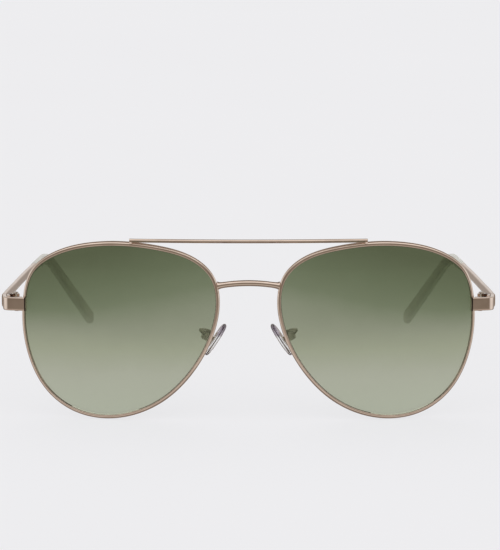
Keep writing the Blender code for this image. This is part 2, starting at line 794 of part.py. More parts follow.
def pad_frame():
    """Pad axes as columns: X across (front to back), Y up its length, Z out of its back."""
    across = Vector((math.sin(PAD_SPLAY), math.cos(PAD_SPLAY), 0.0))
    length = Vector((-math.sin(PAD_SLANT), 0.0, math.cos(PAD_SLANT)))
    length = (length - across * length.dot(across)).normalized()
    outward = length.cross(across)
    if outward.x < 0:
        outward = -outward
    u, v = rim_edge(-PAD_BELOW_MIDDLE, False)
    rim = front_point(u, v)
    centre = Vector((PAD_HALF_SPACING, rim.y + PAD_BEHIND_RIM, rim.z))
    turn = Matrix((across, length, outward)).transposed().to_4x4()
    return Matrix.Translation(centre) @ turn


def pad_pivot():
    return pad_frame() @ Vector((0.0, 0.0, PIVOT_OUT))


def build_pad(mesh):
    half = PAD_THICK / 2
    rings = []
    for level, share in PAD_LAYERS:
        half_across, half_length = PAD_WIDTH / 2 * share, PAD_LENGTH / 2 * share
        centre = (0, 0, level * half)
        rings.append(oval(centre, (1, 0, 0), (0, 1, 0), half_across, half_length, 20, PAD_SQUARE))
    skin(mesh, rings)


def build_pad_pocket(mesh):
    length, width, _ = CORE_PLATE
    room = (width / 2 + SEAT_GAP, length / 2 + SEAT_GAP)
    top = PAD_THICK / 2
    box(mesh, (-room[0], -room[1], top - POCKET_DEPTH), (room[0], room[1], top + 1.0))


def build_pad_core(mesh):
    length, width, thick = CORE_PLATE
    seat = PAD_THICK / 2 - POCKET_DEPTH + SEAT_GAP
    box(mesh, (-width / 2, -length / 2, seat), (width / 2, length / 2, seat + thick))


def build_pad_stud(mesh):
    seat = PAD_THICK / 2 - POCKET_DEPTH + SEAT_GAP + CORE_PLATE[2] / 2
    top = PIVOT_OUT + STUD_PAST_PIVOT
    box(mesh, (-STUD_WIDE / 2, -STUD_LONG / 2, seat), (STUD_WIDE / 2, STUD_LONG / 2, top))


def build_pad_bore(mesh):
    reach = BOX_SIZE[0]
    diameter = PAD_SCREW_DIAMETER + 2 * PIN_FIT
    rod(mesh, (-reach, 0, PIVOT_OUT), (reach, 0, PIVOT_OUT), diameter, 12)


def build_pad_box(mesh):
    across, length, deep = BOX_SIZE
    low = (-across / 2, -length / 2, BOX_NEAR_PAD)
    box(mesh, low, (across / 2, length / 2, BOX_NEAR_PAD + deep))


def build_pad_box_slot(mesh):
    """The slot that the stud rocks in, open towards the pad and at both ends."""
    half = BOX_SIZE[0] / 2 - BOX_WALL
    roof = BOX_NEAR_PAD + BOX_SIZE[2] - BOX_WALL
    box(mesh, (-half, -BOX_SIZE[1], BOX_NEAR_PAD - 1.0), (half, BOX_SIZE[1], roof))


def pad_screw_ends():
    half = BOX_SIZE[0] / 2
    return (-half, 0, PIVOT_OUT), (half + SEAT_GAP, 0, PIVOT_OUT)


def build_pad_arm(mesh):
    """A wire from the back of the rim, round in a loop and down onto the pad box."""
    frame = pad_frame()
    roof = BOX_NEAR_PAD + BOX_SIZE[2] + SEAT_GAP
    box_top = frame @ Vector((0.0, 0.0, roof))
    outward = (frame.to_3x3() @ Vector((0, 0, 1))).normalized()
    length = (frame.to_3x3() @ Vector((0, 1, 0))).normalized()
    u, v = rim_edge(ARM_ROOT_ABOVE_PAD - PAD_BELOW_MIDDLE, False)
    root = front_point(u - RIM_WALL / 2, v, -RIM_DEPTH / 2 - SEAT_GAP - ARM_ROOT_BACK)
    controls = [
        root,
        root + Vector(ARM_LEAVES),
        root.lerp(box_top, ARM_MIDDLE) + length * ARM_LOOP + outward * ARM_LIFT,
        box_top + outward * ARM_CROWN + length * ARM_LOOP,
        box_top + outward * ARM_RETURN + length * ARM_RETURN_SIDE,
        box_top,
    ]
    rings = []
    route = smooth_route(controls, 14)
    for i, centre in enumerate(route):
        ahead = route[min(i + 1, len(route) - 1)] - route[max(i - 1, 0)]
        if i == 0:
            ahead = Vector((0.0, 1.0, 0.0))
        if i == len(route) - 1:
            ahead = -outward
        ahead = ahead.normalized()
        hint = Vector((1.0, 0.0, 0.35))
        across = (hint - ahead * hint.dot(ahead)).normalized()
        over = ahead.cross(across)
        rings.append(oval(centre, across, over, ARM_DIAMETER / 2, ARM_DIAMETER / 2, 8))
    skin(mesh, rings)


def smooth_route(controls, count):
    """Evenly spread points on a Catmull-Rom curve through the control points."""
    ends = [controls[0] * 2 - controls[1], *controls, controls[-1] * 2 - controls[-2]]
    spans = len(controls) - 1
    route = []
    for i in range(count):
        t = spans * i / (count - 1)
        k = min(int(t), spans - 1)
        t -= k
        a, b, c, d = ends[k:k + 4]
        route.append(
            b + (c - a) * (t / 2) + (a * 2 - b * 5 + c * 4 - d) * (t * t / 2)
            + (b * 3 - a - c * 3 + d) * (t**3 / 2)
        )
    return route


# ---------------------------------------------------------------- assembly


def make_front(root):
    new_object("bridge", build_bridge, 1.0, root, metal_material)
    bar = new_object("brow_bar", build_bar, 1.0, root, metal_material)
    for name, side in SIDES:
        combine(bar, "brow_bar_foot_" + name, build_bar_foot, side, root, "UNION")
    for name, side in SIDES:
        new_object("rim_" + name, build_rim, side, root, metal_material)
        new_object("lens_" + name, build_lens, side, root, lens_material)
        new_object("endpiece_" + name, build_endpiece, side, root, metal_material)
        make_closing_block(name, side, root)
        make_front_hinge(name, side, root)


def make_closing_block(name, side, root):
    for part, build in (("upper", build_block_upper), ("lower", build_block_lower)):
        block = new_object(f"closing_block_{part}_{name}", build, side, root, metal_material)
        combine(block, f"{block.name}_bore", build_rim_screw_bore, side, root, "DIFFERENCE")
    start, end = rim_screw_ends()
    make_screw("rim_screw_" + name, side, root, (start, end),
               (RIM_SCREW_DIAMETER, RIM_SCREW_HEAD, SCREW_HEAD_TALL))


def make_screw(name, side, pivot, ends, sizes, frame=None):
    diameter, head, head_tall = sizes

    def shank(mesh):
        slotted_screw(mesh, *ends, diameter, head, head_tall)

    def slot(mesh):
        slot_cutter(mesh, *ends, head, head_tall)

    screw = new_object(name, shank, side, pivot, screw_material, frame)
    combine(screw, name + "_slot", slot, side, pivot, "DIFFERENCE", frame)


def make_front_hinge(name, side, root):
    hinge = new_object("front_hinge_" + name, build_front_hinge, side, root, metal_material)
    lower, _, upper = knuckle_bands()
    for part, band in (("lower", lower), ("upper", upper)):
        def knuckle(mesh, band=band):
            build_front_knuckle(mesh, band)

        combine(hinge, f"{hinge.name}_{part}", knuckle, side, root, "UNION")
    combine(hinge, hinge.name + "_room", build_knuckle_room, side, root, "DIFFERENCE")
    combine(hinge, hinge.name + "_bore", build_hinge_bore, side, root, "DIFFERENCE")
    make_screw("hinge_screw_" + name, side, root, hinge_screw_ends(),
               (HINGE_SCREW_DIAMETER, HINGE_SCREW_HEAD, SCREW_HEAD_TALL))


def make_temple(name, side, root):
    pivot = new_pivot("temple_axis_" + name, hinge_axis(), side, root)
    new_object("temple_" + name, build_temple, side, pivot, metal_material)
    new_object("temple_tip_" + name, build_tip, side, pivot, clear_material)
    hinge = new_object("temple_hinge_" + name, build_temple_hinge, side, pivot, metal_material)
    combine(hinge, hinge.name + "_knuckle", build_temple_knuckle, side, pivot, "UNION")
    combine(hinge, hinge.name + "_bore", build_hinge_bore, side, pivot, "DIFFERENCE")


def make_pad(name, side, root):
    frame = pad_frame()
    pivot = new_pivot("pad_axis_" + name, pad_pivot(), side, root)
    pad = new_object("nose_pad_" + name, build_pad, side, pivot, clear_material, frame)
    combine(pad, pad.name + "_pocket", build_pad_pocket, side, pivot, "DIFFERENCE", frame)
    core = new_object("pad_core_" + name, build_pad_core, side, pivot, metal_material, frame)
    combine(core, core.name + "_stud", build_pad_stud, side, pivot, "UNION", frame)
    combine(core, core.name + "_bore", build_pad_bore, side, pivot, "DIFFERENCE", frame)
    holder = new_object("pad_box_" + name, build_pad_box, side, root, metal_material, frame)
    combine(holder, holder.name + "_slot", build_pad_box_slot, side, root, "DIFFERENCE", frame)
    combine(holder, holder.name + "_bore", build_pad_bore, side, root, "DIFFERENCE", frame)
    new_object("pad_arm_" + name, build_pad_arm, side, root, metal_material)
    make_screw("pad_screw_" + name, side, root, pad_screw_ends(),
               (PAD_SCREW_DIAMETER, PAD_SCREW_HEAD, PAD_SCREW_HEAD_TALL), frame)


def shown_points(names):
    bpy.context.view_layer.update()
    found = []
    for item in bpy.data.objects:
        if item.type == "MESH" and not item.hide_render and item.name.startswith(names):
            found += [item.matrix_world @ vertex.co for vertex in item.data.vertices]
    return found


def stand_on_table(root):
    """Pitches and lifts the pair until the rims and the temple tips all touch Z = 0."""
    empty = root["empty"]
    for _ in range(6):
        front = min(shown_points("rim_"), key=lambda point: point.z)
        tip = min(shown_points("temple_tip_"), key=lambda point: point.z)
        empty.rotation_euler.x -= math.atan2(tip.z - front.z, tip.y - front.y)
    everything = shown_points("")
    low = min(point.z for point in everything)
    middle = (min(point.y for point in everything) + max(point.y for point in everything)) / 2
    empty.location = (0.0, -middle, -low)
    bpy.context.view_layer.update()


def main():
    clear_scene()
    root = new_pivot("resting_pose", (0.0, 0.0, 0.0), 1.0)
    make_front(root)
    for name, side in SIDES:
        make_temple(name, side, root)
        make_pad(name, side, root)
    stand_on_table(root)


main()
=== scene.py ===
"""Looks of the aviator sunglasses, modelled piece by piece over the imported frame.

Pieces are modelled in millimetres in the wearing frame: X towards the wearer's left, Y towards
the back of the head and Z up, with Z = 0 at the middle of the lenses. RestPose then turns and
lifts each mesh onto the surface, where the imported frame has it. Left pieces are modelled, and
each right piece is a mirrored copy with its own mesh.
"""

import json
import logging
import math
from dataclasses import dataclass, field
from enum import Enum
from typing import Optional, Sequence

import bpy
import numpy as np
from mathutils import Matrix, Vector

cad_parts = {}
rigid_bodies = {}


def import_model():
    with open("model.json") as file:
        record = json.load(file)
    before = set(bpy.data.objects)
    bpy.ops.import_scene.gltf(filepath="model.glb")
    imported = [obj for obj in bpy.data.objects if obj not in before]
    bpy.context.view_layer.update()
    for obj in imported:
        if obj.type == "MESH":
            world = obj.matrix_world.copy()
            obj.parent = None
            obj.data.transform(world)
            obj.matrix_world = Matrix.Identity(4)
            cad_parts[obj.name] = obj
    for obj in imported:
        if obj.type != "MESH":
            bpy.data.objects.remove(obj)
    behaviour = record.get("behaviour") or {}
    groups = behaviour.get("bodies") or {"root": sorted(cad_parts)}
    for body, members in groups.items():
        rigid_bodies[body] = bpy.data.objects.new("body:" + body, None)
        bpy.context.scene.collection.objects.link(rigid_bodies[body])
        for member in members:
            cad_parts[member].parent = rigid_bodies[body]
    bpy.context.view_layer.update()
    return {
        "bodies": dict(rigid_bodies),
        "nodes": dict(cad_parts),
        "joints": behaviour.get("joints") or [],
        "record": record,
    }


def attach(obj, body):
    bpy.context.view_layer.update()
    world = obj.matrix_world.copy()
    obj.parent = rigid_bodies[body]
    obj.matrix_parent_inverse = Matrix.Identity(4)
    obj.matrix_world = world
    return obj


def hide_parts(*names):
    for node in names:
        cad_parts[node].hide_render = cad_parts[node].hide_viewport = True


LOG = logging.getLogger("sunglasses")
MM = 0.001
Colour = tuple[float, float, float]


class Slot(Enum):
    """The record's material slots."""

    METAL = "rose_metal"
    LENS = "tinted_lens"
    PLASTIC = "clear_plastic"
    SCREW = "screw_steel"


class Carrier(Enum):
    """The CAD body that a pair of pieces rides on."""

    FRONT = "front"
    TEMPLE = "temple"
    PAD = "pad"

    def body(self, side: str) -> str:
        """The body's name for a side."""
        return "front" if self is Carrier.FRONT else f"{side}_{self.value}"


# ------------------------------------------------------------------------------ finishes


class Graph:
    """A material's node tree, built a node at a time."""

    def __init__(self, name: str) -> None:
        """Starts an empty node material.

        Args:
            name: The material's name.
        """
        self.material = bpy.data.materials.new(name)
        self.material.use_nodes = True
        self.tree = self.material.node_tree
        self.tree.nodes.clear()
        self.column = 0

    @classmethod
    def of_tree(cls, tree: bpy.types.NodeTree) -> "Graph":
        """Works on a tree that already exists, such as the world's.

        Args:
            tree: The node tree, which is emptied.

        Returns:
            The graph.
        """
        graph = cls.__new__(cls)
        graph.material, graph.tree, graph.column = None, tree, 0
        tree.nodes.clear()
        return graph

    def add(self, kind: str, **values: object) -> bpy.types.Node:
        """Adds a node and sets its properties.

        Args:
            kind: The node's type name without the ShaderNode prefix.
            values: Properties of the node.

        Returns:
            The new node.
        """
        node = self.tree.nodes.new(f"ShaderNode{kind}")
        node.location = (self.column, 0)
        self.column += 190
        for key, value in values.items():
            setattr(node, key, value)
        return node

    def join(self, output: bpy.types.NodeSocket, target: bpy.types.NodeSocket) -> None:
        """Links an output to an input."""
        self.tree.links.new(output, target)

    def feed(self, node: bpy.types.Node, values: dict) -> None:
        """Sets or links a node's inputs.

        Args:
            node: The node.
            values: A plain value or an output socket, by the input's name or place.
        """
        for key, value in values.items():
            if isinstance(value, bpy.types.NodeSocket):
                self.join(value, node.inputs[key])
            else:
                node.inputs[key].default_value = value

    def axes(self, space: str = "Object") -> bpy.types.NodeOutputs:
        """The X, Y and Z outputs of a kind of coordinates."""
        parts = self.add("SeparateXYZ")
        self.feed(parts, {"Vector": self.add("TexCoord").outputs[space]})
        return parts.outputs

    def noise(
        self, scale: float, detail: float, stretch: Sequence[float] = (1, 1, 1)
    ) -> bpy.types.NodeSocket:
        """Adds a noise pattern on Object coordinates.

        Args:
            scale: Size of the pattern, in cycles per metre.
            detail: How many finer layers it has.
            stretch: Scale along X, Y and Z.

        Returns:
            The pattern's value.
        """
        turn, noise = self.add("Mapping"), self.add("TexNoise")
        self.feed(turn, {"Vector": self.add("TexCoord").outputs["Object"], "Scale": stretch})
        self.feed(noise, {"Vector": turn.outputs["Vector"], "Scale": scale,
                          "Detail": detail, "Roughness": 0.55})
        return noise.outputs["Fac"]

    def ramp(
        self, source: bpy.types.NodeSocket, stops: Sequence[tuple[float, Colour]]
    ) -> bpy.types.NodeSocket:
        """Adds a colour ramp.

        Args:
            source: The value that runs along the ramp.
            stops: Place and colour of each stop.

        Returns:
            The colour.
        """
        ramp = self.add("ValToRGB")
        while len(ramp.color_ramp.elements) < len(stops):
            ramp.color_ramp.elements.new(0.5)
        for element, (place, colour) in zip(ramp.color_ramp.elements, stops):
            element.position = place
            element.color = (*colour, 1.0)
        self.join(source, ramp.inputs["Fac"])
        return ramp.outputs["Color"]

    def remap(
        self, source: bpy.types.NodeSocket, start: float, end: float, low: float = 0.0,
        high: float = 1.0, clamp: bool = True, course: str = "LINEAR",
    ) -> bpy.types.NodeSocket:
        """Maps a value from one range onto another.

        Args:
            source: The value.
            start: Where its range starts.
            end: Where its range ends.
            low: Result at the start.
            high: Result at the end.
            clamp: Keeps the result between low and high.
            course: How the result runs between them.

        Returns:
            The mapped value.
        """
        remap = self.add("MapRange", interpolation_type=course, clamp=clamp)
        self.feed(remap, {"Value": source, "From Min": start, "From Max": end,
                          "To Min": low, "To Max": high})
        return remap.outputs["Result"]

    def spread(self, source: bpy.types.NodeSocket, low: float, high: float) -> bpy.types.NodeSocket:
        """Maps the middle of a noise pattern onto a range."""
        return self.remap(source, 0.3, 0.7, low, high)

    def ease(self, source: bpy.types.NodeSocket, start: float, end: float) -> bpy.types.NodeSocket:
        """Maps a value smoothly from 0 at start to 1 at end."""
        return self.remap(source, start, end, course="SMOOTHSTEP")

    def calc(self, operation: str, *values: object) -> bpy.types.NodeSocket:
        """Does one step of arithmetic on values or output sockets."""
        node = self.add("Math", operation=operation)
        self.feed(node, dict(enumerate(values)))
        return node.outputs["Value"]

    def blend(
        self, share: bpy.types.NodeSocket, first: bpy.types.NodeSocket, second: object
    ) -> bpy.types.NodeSocket:
        """Mixes two colours.

        Args:
            share: How much of the second colour shows.
            first: The first colour.
            second: The second colour, as a socket or a plain colour.

        Returns:
            The mixed colour.
        """
        mix = self.add("Mix", data_type="RGBA")
        places = [k for k, socket in enumerate(mix.inputs) if socket.type == "RGBA"]
        plain = not isinstance(second, bpy.types.NodeSocket)
        self.feed(mix, {0: share, places[0]: first, places[1]: (*second, 1.0) if plain else second})
        return next(socket for socket in mix.outputs if socket.type == "RGBA")

    def bump(
        self, source: bpy.types.NodeSocket, strength: float, distance: float
    ) -> bpy.types.NodeSocket:
        """Gives the surface a relief from a height pattern, in metres."""
        bump = self.add("Bump")
        self.feed(bump, {"Strength": strength, "Distance": distance, "Height": source})
        return bump.outputs["Normal"]

    def shader(self, kind: str, values: dict) -> bpy.types.NodeSocket:
        """Adds a shader, such as Principled or Transparent, with the given inputs."""
        shader = self.add(f"Bsdf{kind}")
        self.feed(shader, values)
        return shader.outputs["BSDF"]

    def mix(
        self, share: object, first: bpy.types.NodeSocket, second: bpy.types.NodeSocket
    ) -> bpy.types.NodeSocket:
        """Mixes two shaders by the second one's share."""
        mixed = self.add("MixShader")
        self.feed(mixed, {0: share, 1: first, 2: second})
        return mixed.outputs["Shader"]

    def let_light_by(
        self, surface: bpy.types.NodeSocket, tint: bpy.types.NodeSocket
    ) -> bpy.types.NodeSocket:
        """Lets the lamp's light through a clear piece in its own tint, so its shadow is clear too.

        Args:
            surface: The piece's shader.
            tint: Its colour.

        Returns:
            The mixed shader.
        """
        shadow = self.add("LightPath").outputs["Is Shadow Ray"]
        return self.mix(shadow, surface, self.shader("Transparent", {"Color": tint}))

    def end(self, shader: bpy.types.NodeSocket) -> bpy.types.Material:
        """Links the shader to the output and gives the finished material."""
        self.join(shader, self.add("OutputMaterial").inputs["Surface"])
        return self.material


@dataclass(frozen=True)
class MetalFinish:
    """Plated metal with slight shade changes, handling marks and fine polishing lines."""

    name: str
    light: Colour
    dark: Colour
    roughness: tuple[float, float]
    cloud: float = 210.0
    marks: float = 2600.0
    relief: float = 0.0000012
    bright: float = 1.0

    def make(self) -> bpy.types.Material:
        """Builds the material."""
        graph = Graph(self.name)
        cloud = graph.noise(self.cloud, 3.0)
        marks = graph.noise(self.marks, 4.0, (1.0, 0.35, 1.0))
        return graph.end(graph.shader("Principled", {
            "Metallic": self.bright,
            "Base Color": graph.ramp(cloud, ((0.36, self.dark), (0.64, self.light))),
            "Roughness": graph.spread(marks, *self.roughness),
            "Normal": graph.bump(marks, 0.25, self.relief),
        }))


@dataclass(frozen=True)
class ClearFinish:
    """Moulded plastic, clear to milky, with a polished, very slightly uneven skin, and painted shade
    that can darken it above a given height.
    """

    name: str
    light: Colour = (0.95, 0.955, 0.96)
    dark: Colour = (0.89, 0.90, 0.91)
    shade_tint: Colour = (0.19, 0.15, 0.19)
    index: float = 1.49
    roughness: tuple[float, float] = (0.01, 0.04)
    relief: float = 0.000002
    shade_from: float = 1.0
    shade_to: float = 2.0
    unbent: float = 0.0
    milk: float = 0.0

    def make(self) -> bpy.types.Material:
        """Builds the material."""
        graph = Graph(self.name)
        cloud = graph.noise(160.0, 2.0)
        skin = graph.noise(500.0, 1.0)
        # Painted shade: a darker tint is blended in along Z towards the top. It stands in for the
        # dark look that refraction gives a clear pad's upper end.
        paler = tuple(1.1 * c for c in self.shade_tint)
        clear = graph.ramp(cloud, ((0.35, self.dark), (0.65, self.light)))
        deep = graph.ramp(cloud, ((0.35, self.shade_tint), (0.65, paler)))
        tint = graph.blend(graph.ease(graph.axes()["Z"], self.shade_from, self.shade_to), clear, deep)
        glass = graph.shader("Principled", {
            "Transmission Weight": 1.0,
            "IOR": self.index,
            "Base Color": tint,
            "Roughness": graph.spread(skin, *self.roughness),
            "Normal": graph.bump(skin, 0.1, self.relief),
        })
        straight = graph.shader("Transparent", {"Color": tint})
        mixed = graph.mix(self.unbent, graph.let_light_by(glass, tint), straight)
        return graph.end(graph.mix(self.milk, mixed, graph.shader("Diffuse", {"Color": clear})))


@dataclass(frozen=True)
class LensFinish:
    """Green tint that is dense at the top of the lens and fades towards the bottom."""

    name: str
    bottom: float
    top: float
    middle_x: float
    half_width: float
    tilt: float = 0.12
    tilted_part: tuple[float, float] = (0.46, 0.72)
    mottle: float = 0.012
    index: float = 1.50
    stops: tuple[tuple[float, Colour], ...] = (
        (0.03, (0.494, 0.526, 0.411)),
        (0.26, (0.439, 0.460, 0.355)),
        (0.40, (0.370, 0.400, 0.281)),
        (0.53, (0.293, 0.320, 0.225)),
        (0.67, (0.191, 0.226, 0.138)),
        (0.81, (0.148, 0.180, 0.102)),
        (0.98, (0.110, 0.133, 0.071)),
    )

    def make(self) -> bpy.types.Material:
        """Builds the material."""
        graph = Graph(self.name)
        axes = graph.axes()
        height = graph.remap(axes["Z"], self.bottom, self.top, clamp=False)
        inner, outer = self.middle_x - self.half_width, self.middle_x + self.half_width
        outward = graph.calc("ABSOLUTE", axes["X"])
        lean = graph.remap(outward, inner, outer, -self.tilt, self.tilt, clamp=False)
        tilted = graph.calc("MULTIPLY", lean, graph.ease(height, *self.tilted_part))
        cloud = graph.spread(graph.noise(90.0, 2.0), -self.mottle, self.mottle)
        depth = graph.calc("ADD", graph.calc("ADD", height, tilted), cloud)
        tint = graph.ramp(depth, self.stops)
        glass = graph.shader("Principled", {
            "Transmission Weight": 1.0, "IOR": self.index, "Roughness": 0.0, "Base Color": tint,
        })
        return graph.end(graph.let_light_by(glass, tint))


# ------------------------------------------------------------------------------ bench


class Bench:
    """Modelling steps that every piece uses."""

    @staticmethod
    def clear() -> None:
        """Leaves edit mode and deselects everything."""
        if bpy.context.object and bpy.context.object.mode != "OBJECT":
            bpy.ops.object.mode_set(mode="OBJECT")
        bpy.ops.object.select_all(action="DESELECT")

    @staticmethod
    def pick(piece: bpy.types.Object) -> None:
        """Makes one piece the selected and active one."""
        Bench.clear()
        piece.select_set(True)
        bpy.context.view_layer.objects.active = piece

    @staticmethod
    def tube(name: str, rings: np.ndarray, edge: float = 0.0) -> bpy.types.Object:
        """Rolls a grid into a tube through rings of points and closes its ends.

        Args:
            name: The piece's name.
            rings: Points, as rings by points by 3.
            edge: Width of the bevel on the ends' edges.

        Returns:
            The piece.
        """
        rows, columns = rings.shape[:2]
        along = rows - 1
        Bench.clear()
        bpy.ops.mesh.primitive_grid_add(x_subdivisions=along, y_subdivisions=columns, size=2.0)
        piece = bpy.context.object
        piece.name = name
        mesh = piece.data
        flat = np.empty(len(mesh.vertices) * 3)
        mesh.vertices.foreach_get("co", flat)
        flat = flat.reshape(-1, 3)
        row = np.rint((flat[:, 0] + 1.0) / 2.0 * along).astype(int)
        column = np.rint((flat[:, 1] + 1.0) / 2.0 * columns).astype(int) % columns
        mesh.vertices.foreach_set("co", rings[row, column].ravel())
        mesh.update()
        Bench.close(piece)
        if edge:
            Bench.bevel(piece, edge, 50.0)
        return piece

    @staticmethod
    def close(piece: bpy.types.Object) -> None:
        """Merges doubles, fills open ends and points the faces outwards."""
        Bench.pick(piece)
        bpy.ops.object.mode_set(mode="EDIT")
        bpy.ops.mesh.select_all(action="SELECT")
        bpy.ops.mesh.remove_doubles(threshold=0.0001)
        bpy.ops.mesh.fill_holes(sides=0)
        bpy.ops.mesh.select_all(action="SELECT")
        bpy.ops.mesh.normals_make_consistent(inside=False)
        bpy.ops.object.mode_set(mode="OBJECT")

    @staticmethod
    def bevel(
        piece: bpy.types.Object, width: float, angle: float = 40.0, segments: int = 3
    ) -> None:
        """Rounds the edges that turn by more than an angle.

        Args:
            piece: The piece.
            width: Width of the bevel.
            angle: Least turn of a bevelled edge, in degrees.
            segments: Faces across the bevel.
        """
        Bench.pick(piece)
        rounding = piece.modifiers.new("rounding", "BEVEL")
        rounding.width = width
        rounding.segments = segments
        rounding.limit_method = "ANGLE"
        rounding.angle_limit = math.radians(angle)
        rounding.harden_normals = False
        bpy.ops.object.modifier_apply(modifier=rounding.name)

    @staticmethod
    def prism(
        name: str, plan: Sequence[Sequence[float]], low: float, high: float, edge: float
    ) -> bpy.types.Object:
        """Extrudes a flat outline along Z and rounds its edges.

        Args:
            name: The piece's name.
            plan: Corners of the outline, as X and Y.
            low: Z of the bottom.
            high: Z of the top.
            edge: Width of the bevel.

        Returns:
            The piece.
        """
        Bench.clear()
        bpy.ops.mesh.primitive_circle_add(vertices=len(plan), radius=1.0, fill_type="NGON")
        piece = bpy.context.object
        piece.name = name
        for vertex, (x, y) in zip(piece.data.vertices, plan):
            vertex.co = (x, y, low)
        bpy.ops.object.mode_set(mode="EDIT")
        bpy.ops.mesh.select_all(action="SELECT")
        rise = {"value": (0.0, 0.0, high - low)}
        bpy.ops.mesh.extrude_region_move(TRANSFORM_OT_translate=rise)
        bpy.ops.object.mode_set(mode="OBJECT")
        Bench.close(piece)
        Bench.bevel(piece, edge)
        return piece

    @staticmethod
    def block(
        name: str, low: Sequence[float], high: Sequence[float], edge: float, segments: int = 3
    ) -> bpy.types.Object:
        """A block with rounded edges.

        Args:
            name: The piece's name.
            low: Lowest corner.
            high: Highest corner.
            edge: Width of the bevel.
            segments: Faces across the bevel.

        Returns:
            The piece.
        """
        middle = [(a + b) / 2 for a, b in zip(low, high)]
        size = [b - a for a, b in zip(low, high)]
        Bench.clear()
        bpy.ops.mesh.primitive_cube_add(size=1.0, location=middle, scale=size)
        piece = bpy.context.object
        piece.name = name
        bpy.ops.object.transform_apply(location=True, rotation=True, scale=True)
        if edge:
            Bench.bevel(piece, edge, segments=segments)
        return piece

    @staticmethod
    def cut(piece: bpy.types.Object, cutter: bpy.types.Object) -> None:
        """Cuts one piece out of another and removes the cutter."""
        Bench.pick(piece)
        opening = piece.modifiers.new("opening", "BOOLEAN")
        opening.operation = "DIFFERENCE"
        opening.solver = "EXACT"
        opening.object = cutter
        bpy.ops.object.modifier_apply(modifier=opening.name)
        bpy.data.objects.remove(cutter, do_unlink=True)

    @staticmethod
    def join(pieces: Sequence[bpy.types.Object], name: str) -> bpy.types.Object:
        """Joins pieces into one object.

        Args:
            pieces: The pieces; the first one is kept.
            name: The joined piece's name.

        Returns:
            The joined piece.
        """
        Bench.pick(pieces[0])
        for piece in pieces[1:]:
            piece.select_set(True)
        bpy.ops.object.join()
        pieces[0].name = name
        return pieces[0]

    @staticmethod
    def smooth(piece: bpy.types.Object, angle: float = 38.0) -> None:
        """Shades a piece smooth up to an angle, in degrees."""
        Bench.pick(piece)
        bpy.ops.object.shade_smooth_by_angle(angle=math.radians(angle))

    @staticmethod
    def turn(piece: bpy.types.Object, matrix: Matrix) -> None:
        """Moves a piece's mesh, so that its object stays at the origin."""
        piece.data.transform(matrix)
        piece.data.update()


def oval(
    centre: Sequence[float], side: Sequence[float], up: Sequence[float],
    half_side: float, half_up: float, count: int, square: float = 2.0,
) -> np.ndarray:
    """A ring of points on a superellipse.

    Args:
        centre: Its middle.
        side: Unit vector of its first axis.
        up: Unit vector of its second axis.
        half_side: Half its size along side.
        half_up: Half its size along up.
        count: How many points it has.
        square: 2 gives an ellipse, and more a squarer ring.

    Returns:
        The points, as count by 3.
    """
    angle = 2.0 * math.pi * (np.arange(count) + 0.5) / count
    c, s = np.cos(angle), np.sin(angle)
    across = half_side * np.sign(c) * np.abs(c) ** (2.0 / square)
    over = half_up * np.sign(s) * np.abs(s) ** (2.0 / square)
    return np.array(centre) + across[:, None] * np.array(side) + over[:, None] * np.array(up)


def smooth_route(controls: Sequence[Vector], count: int) -> list[Vector]:
    """Points on a Catmull-Rom curve.

    Args:
        controls: The points it passes through.
        count: How many points to give.

    Returns:
        The points along the curve.
    """
    ends = [controls[0] * 2 - controls[1], *controls, controls[-1] * 2 - controls[-2]]
    spans = len(controls) - 1
    route = []
    for i in range(count):
        t = spans * i / (count - 1)
        k = min(int(t), spans - 1)
        t -= k
        a, b, c, d = ends[k:k + 4]
        route.append(
            b + (c - a) * (t / 2) + (a * 2 - b * 5 + c * 4 - d) * (t * t / 2)
            + (b * 3 - a - c * 3 + d) * (t**3 / 2)
        )
    return route


# ------------------------------------------------------------------------------ the front's curve


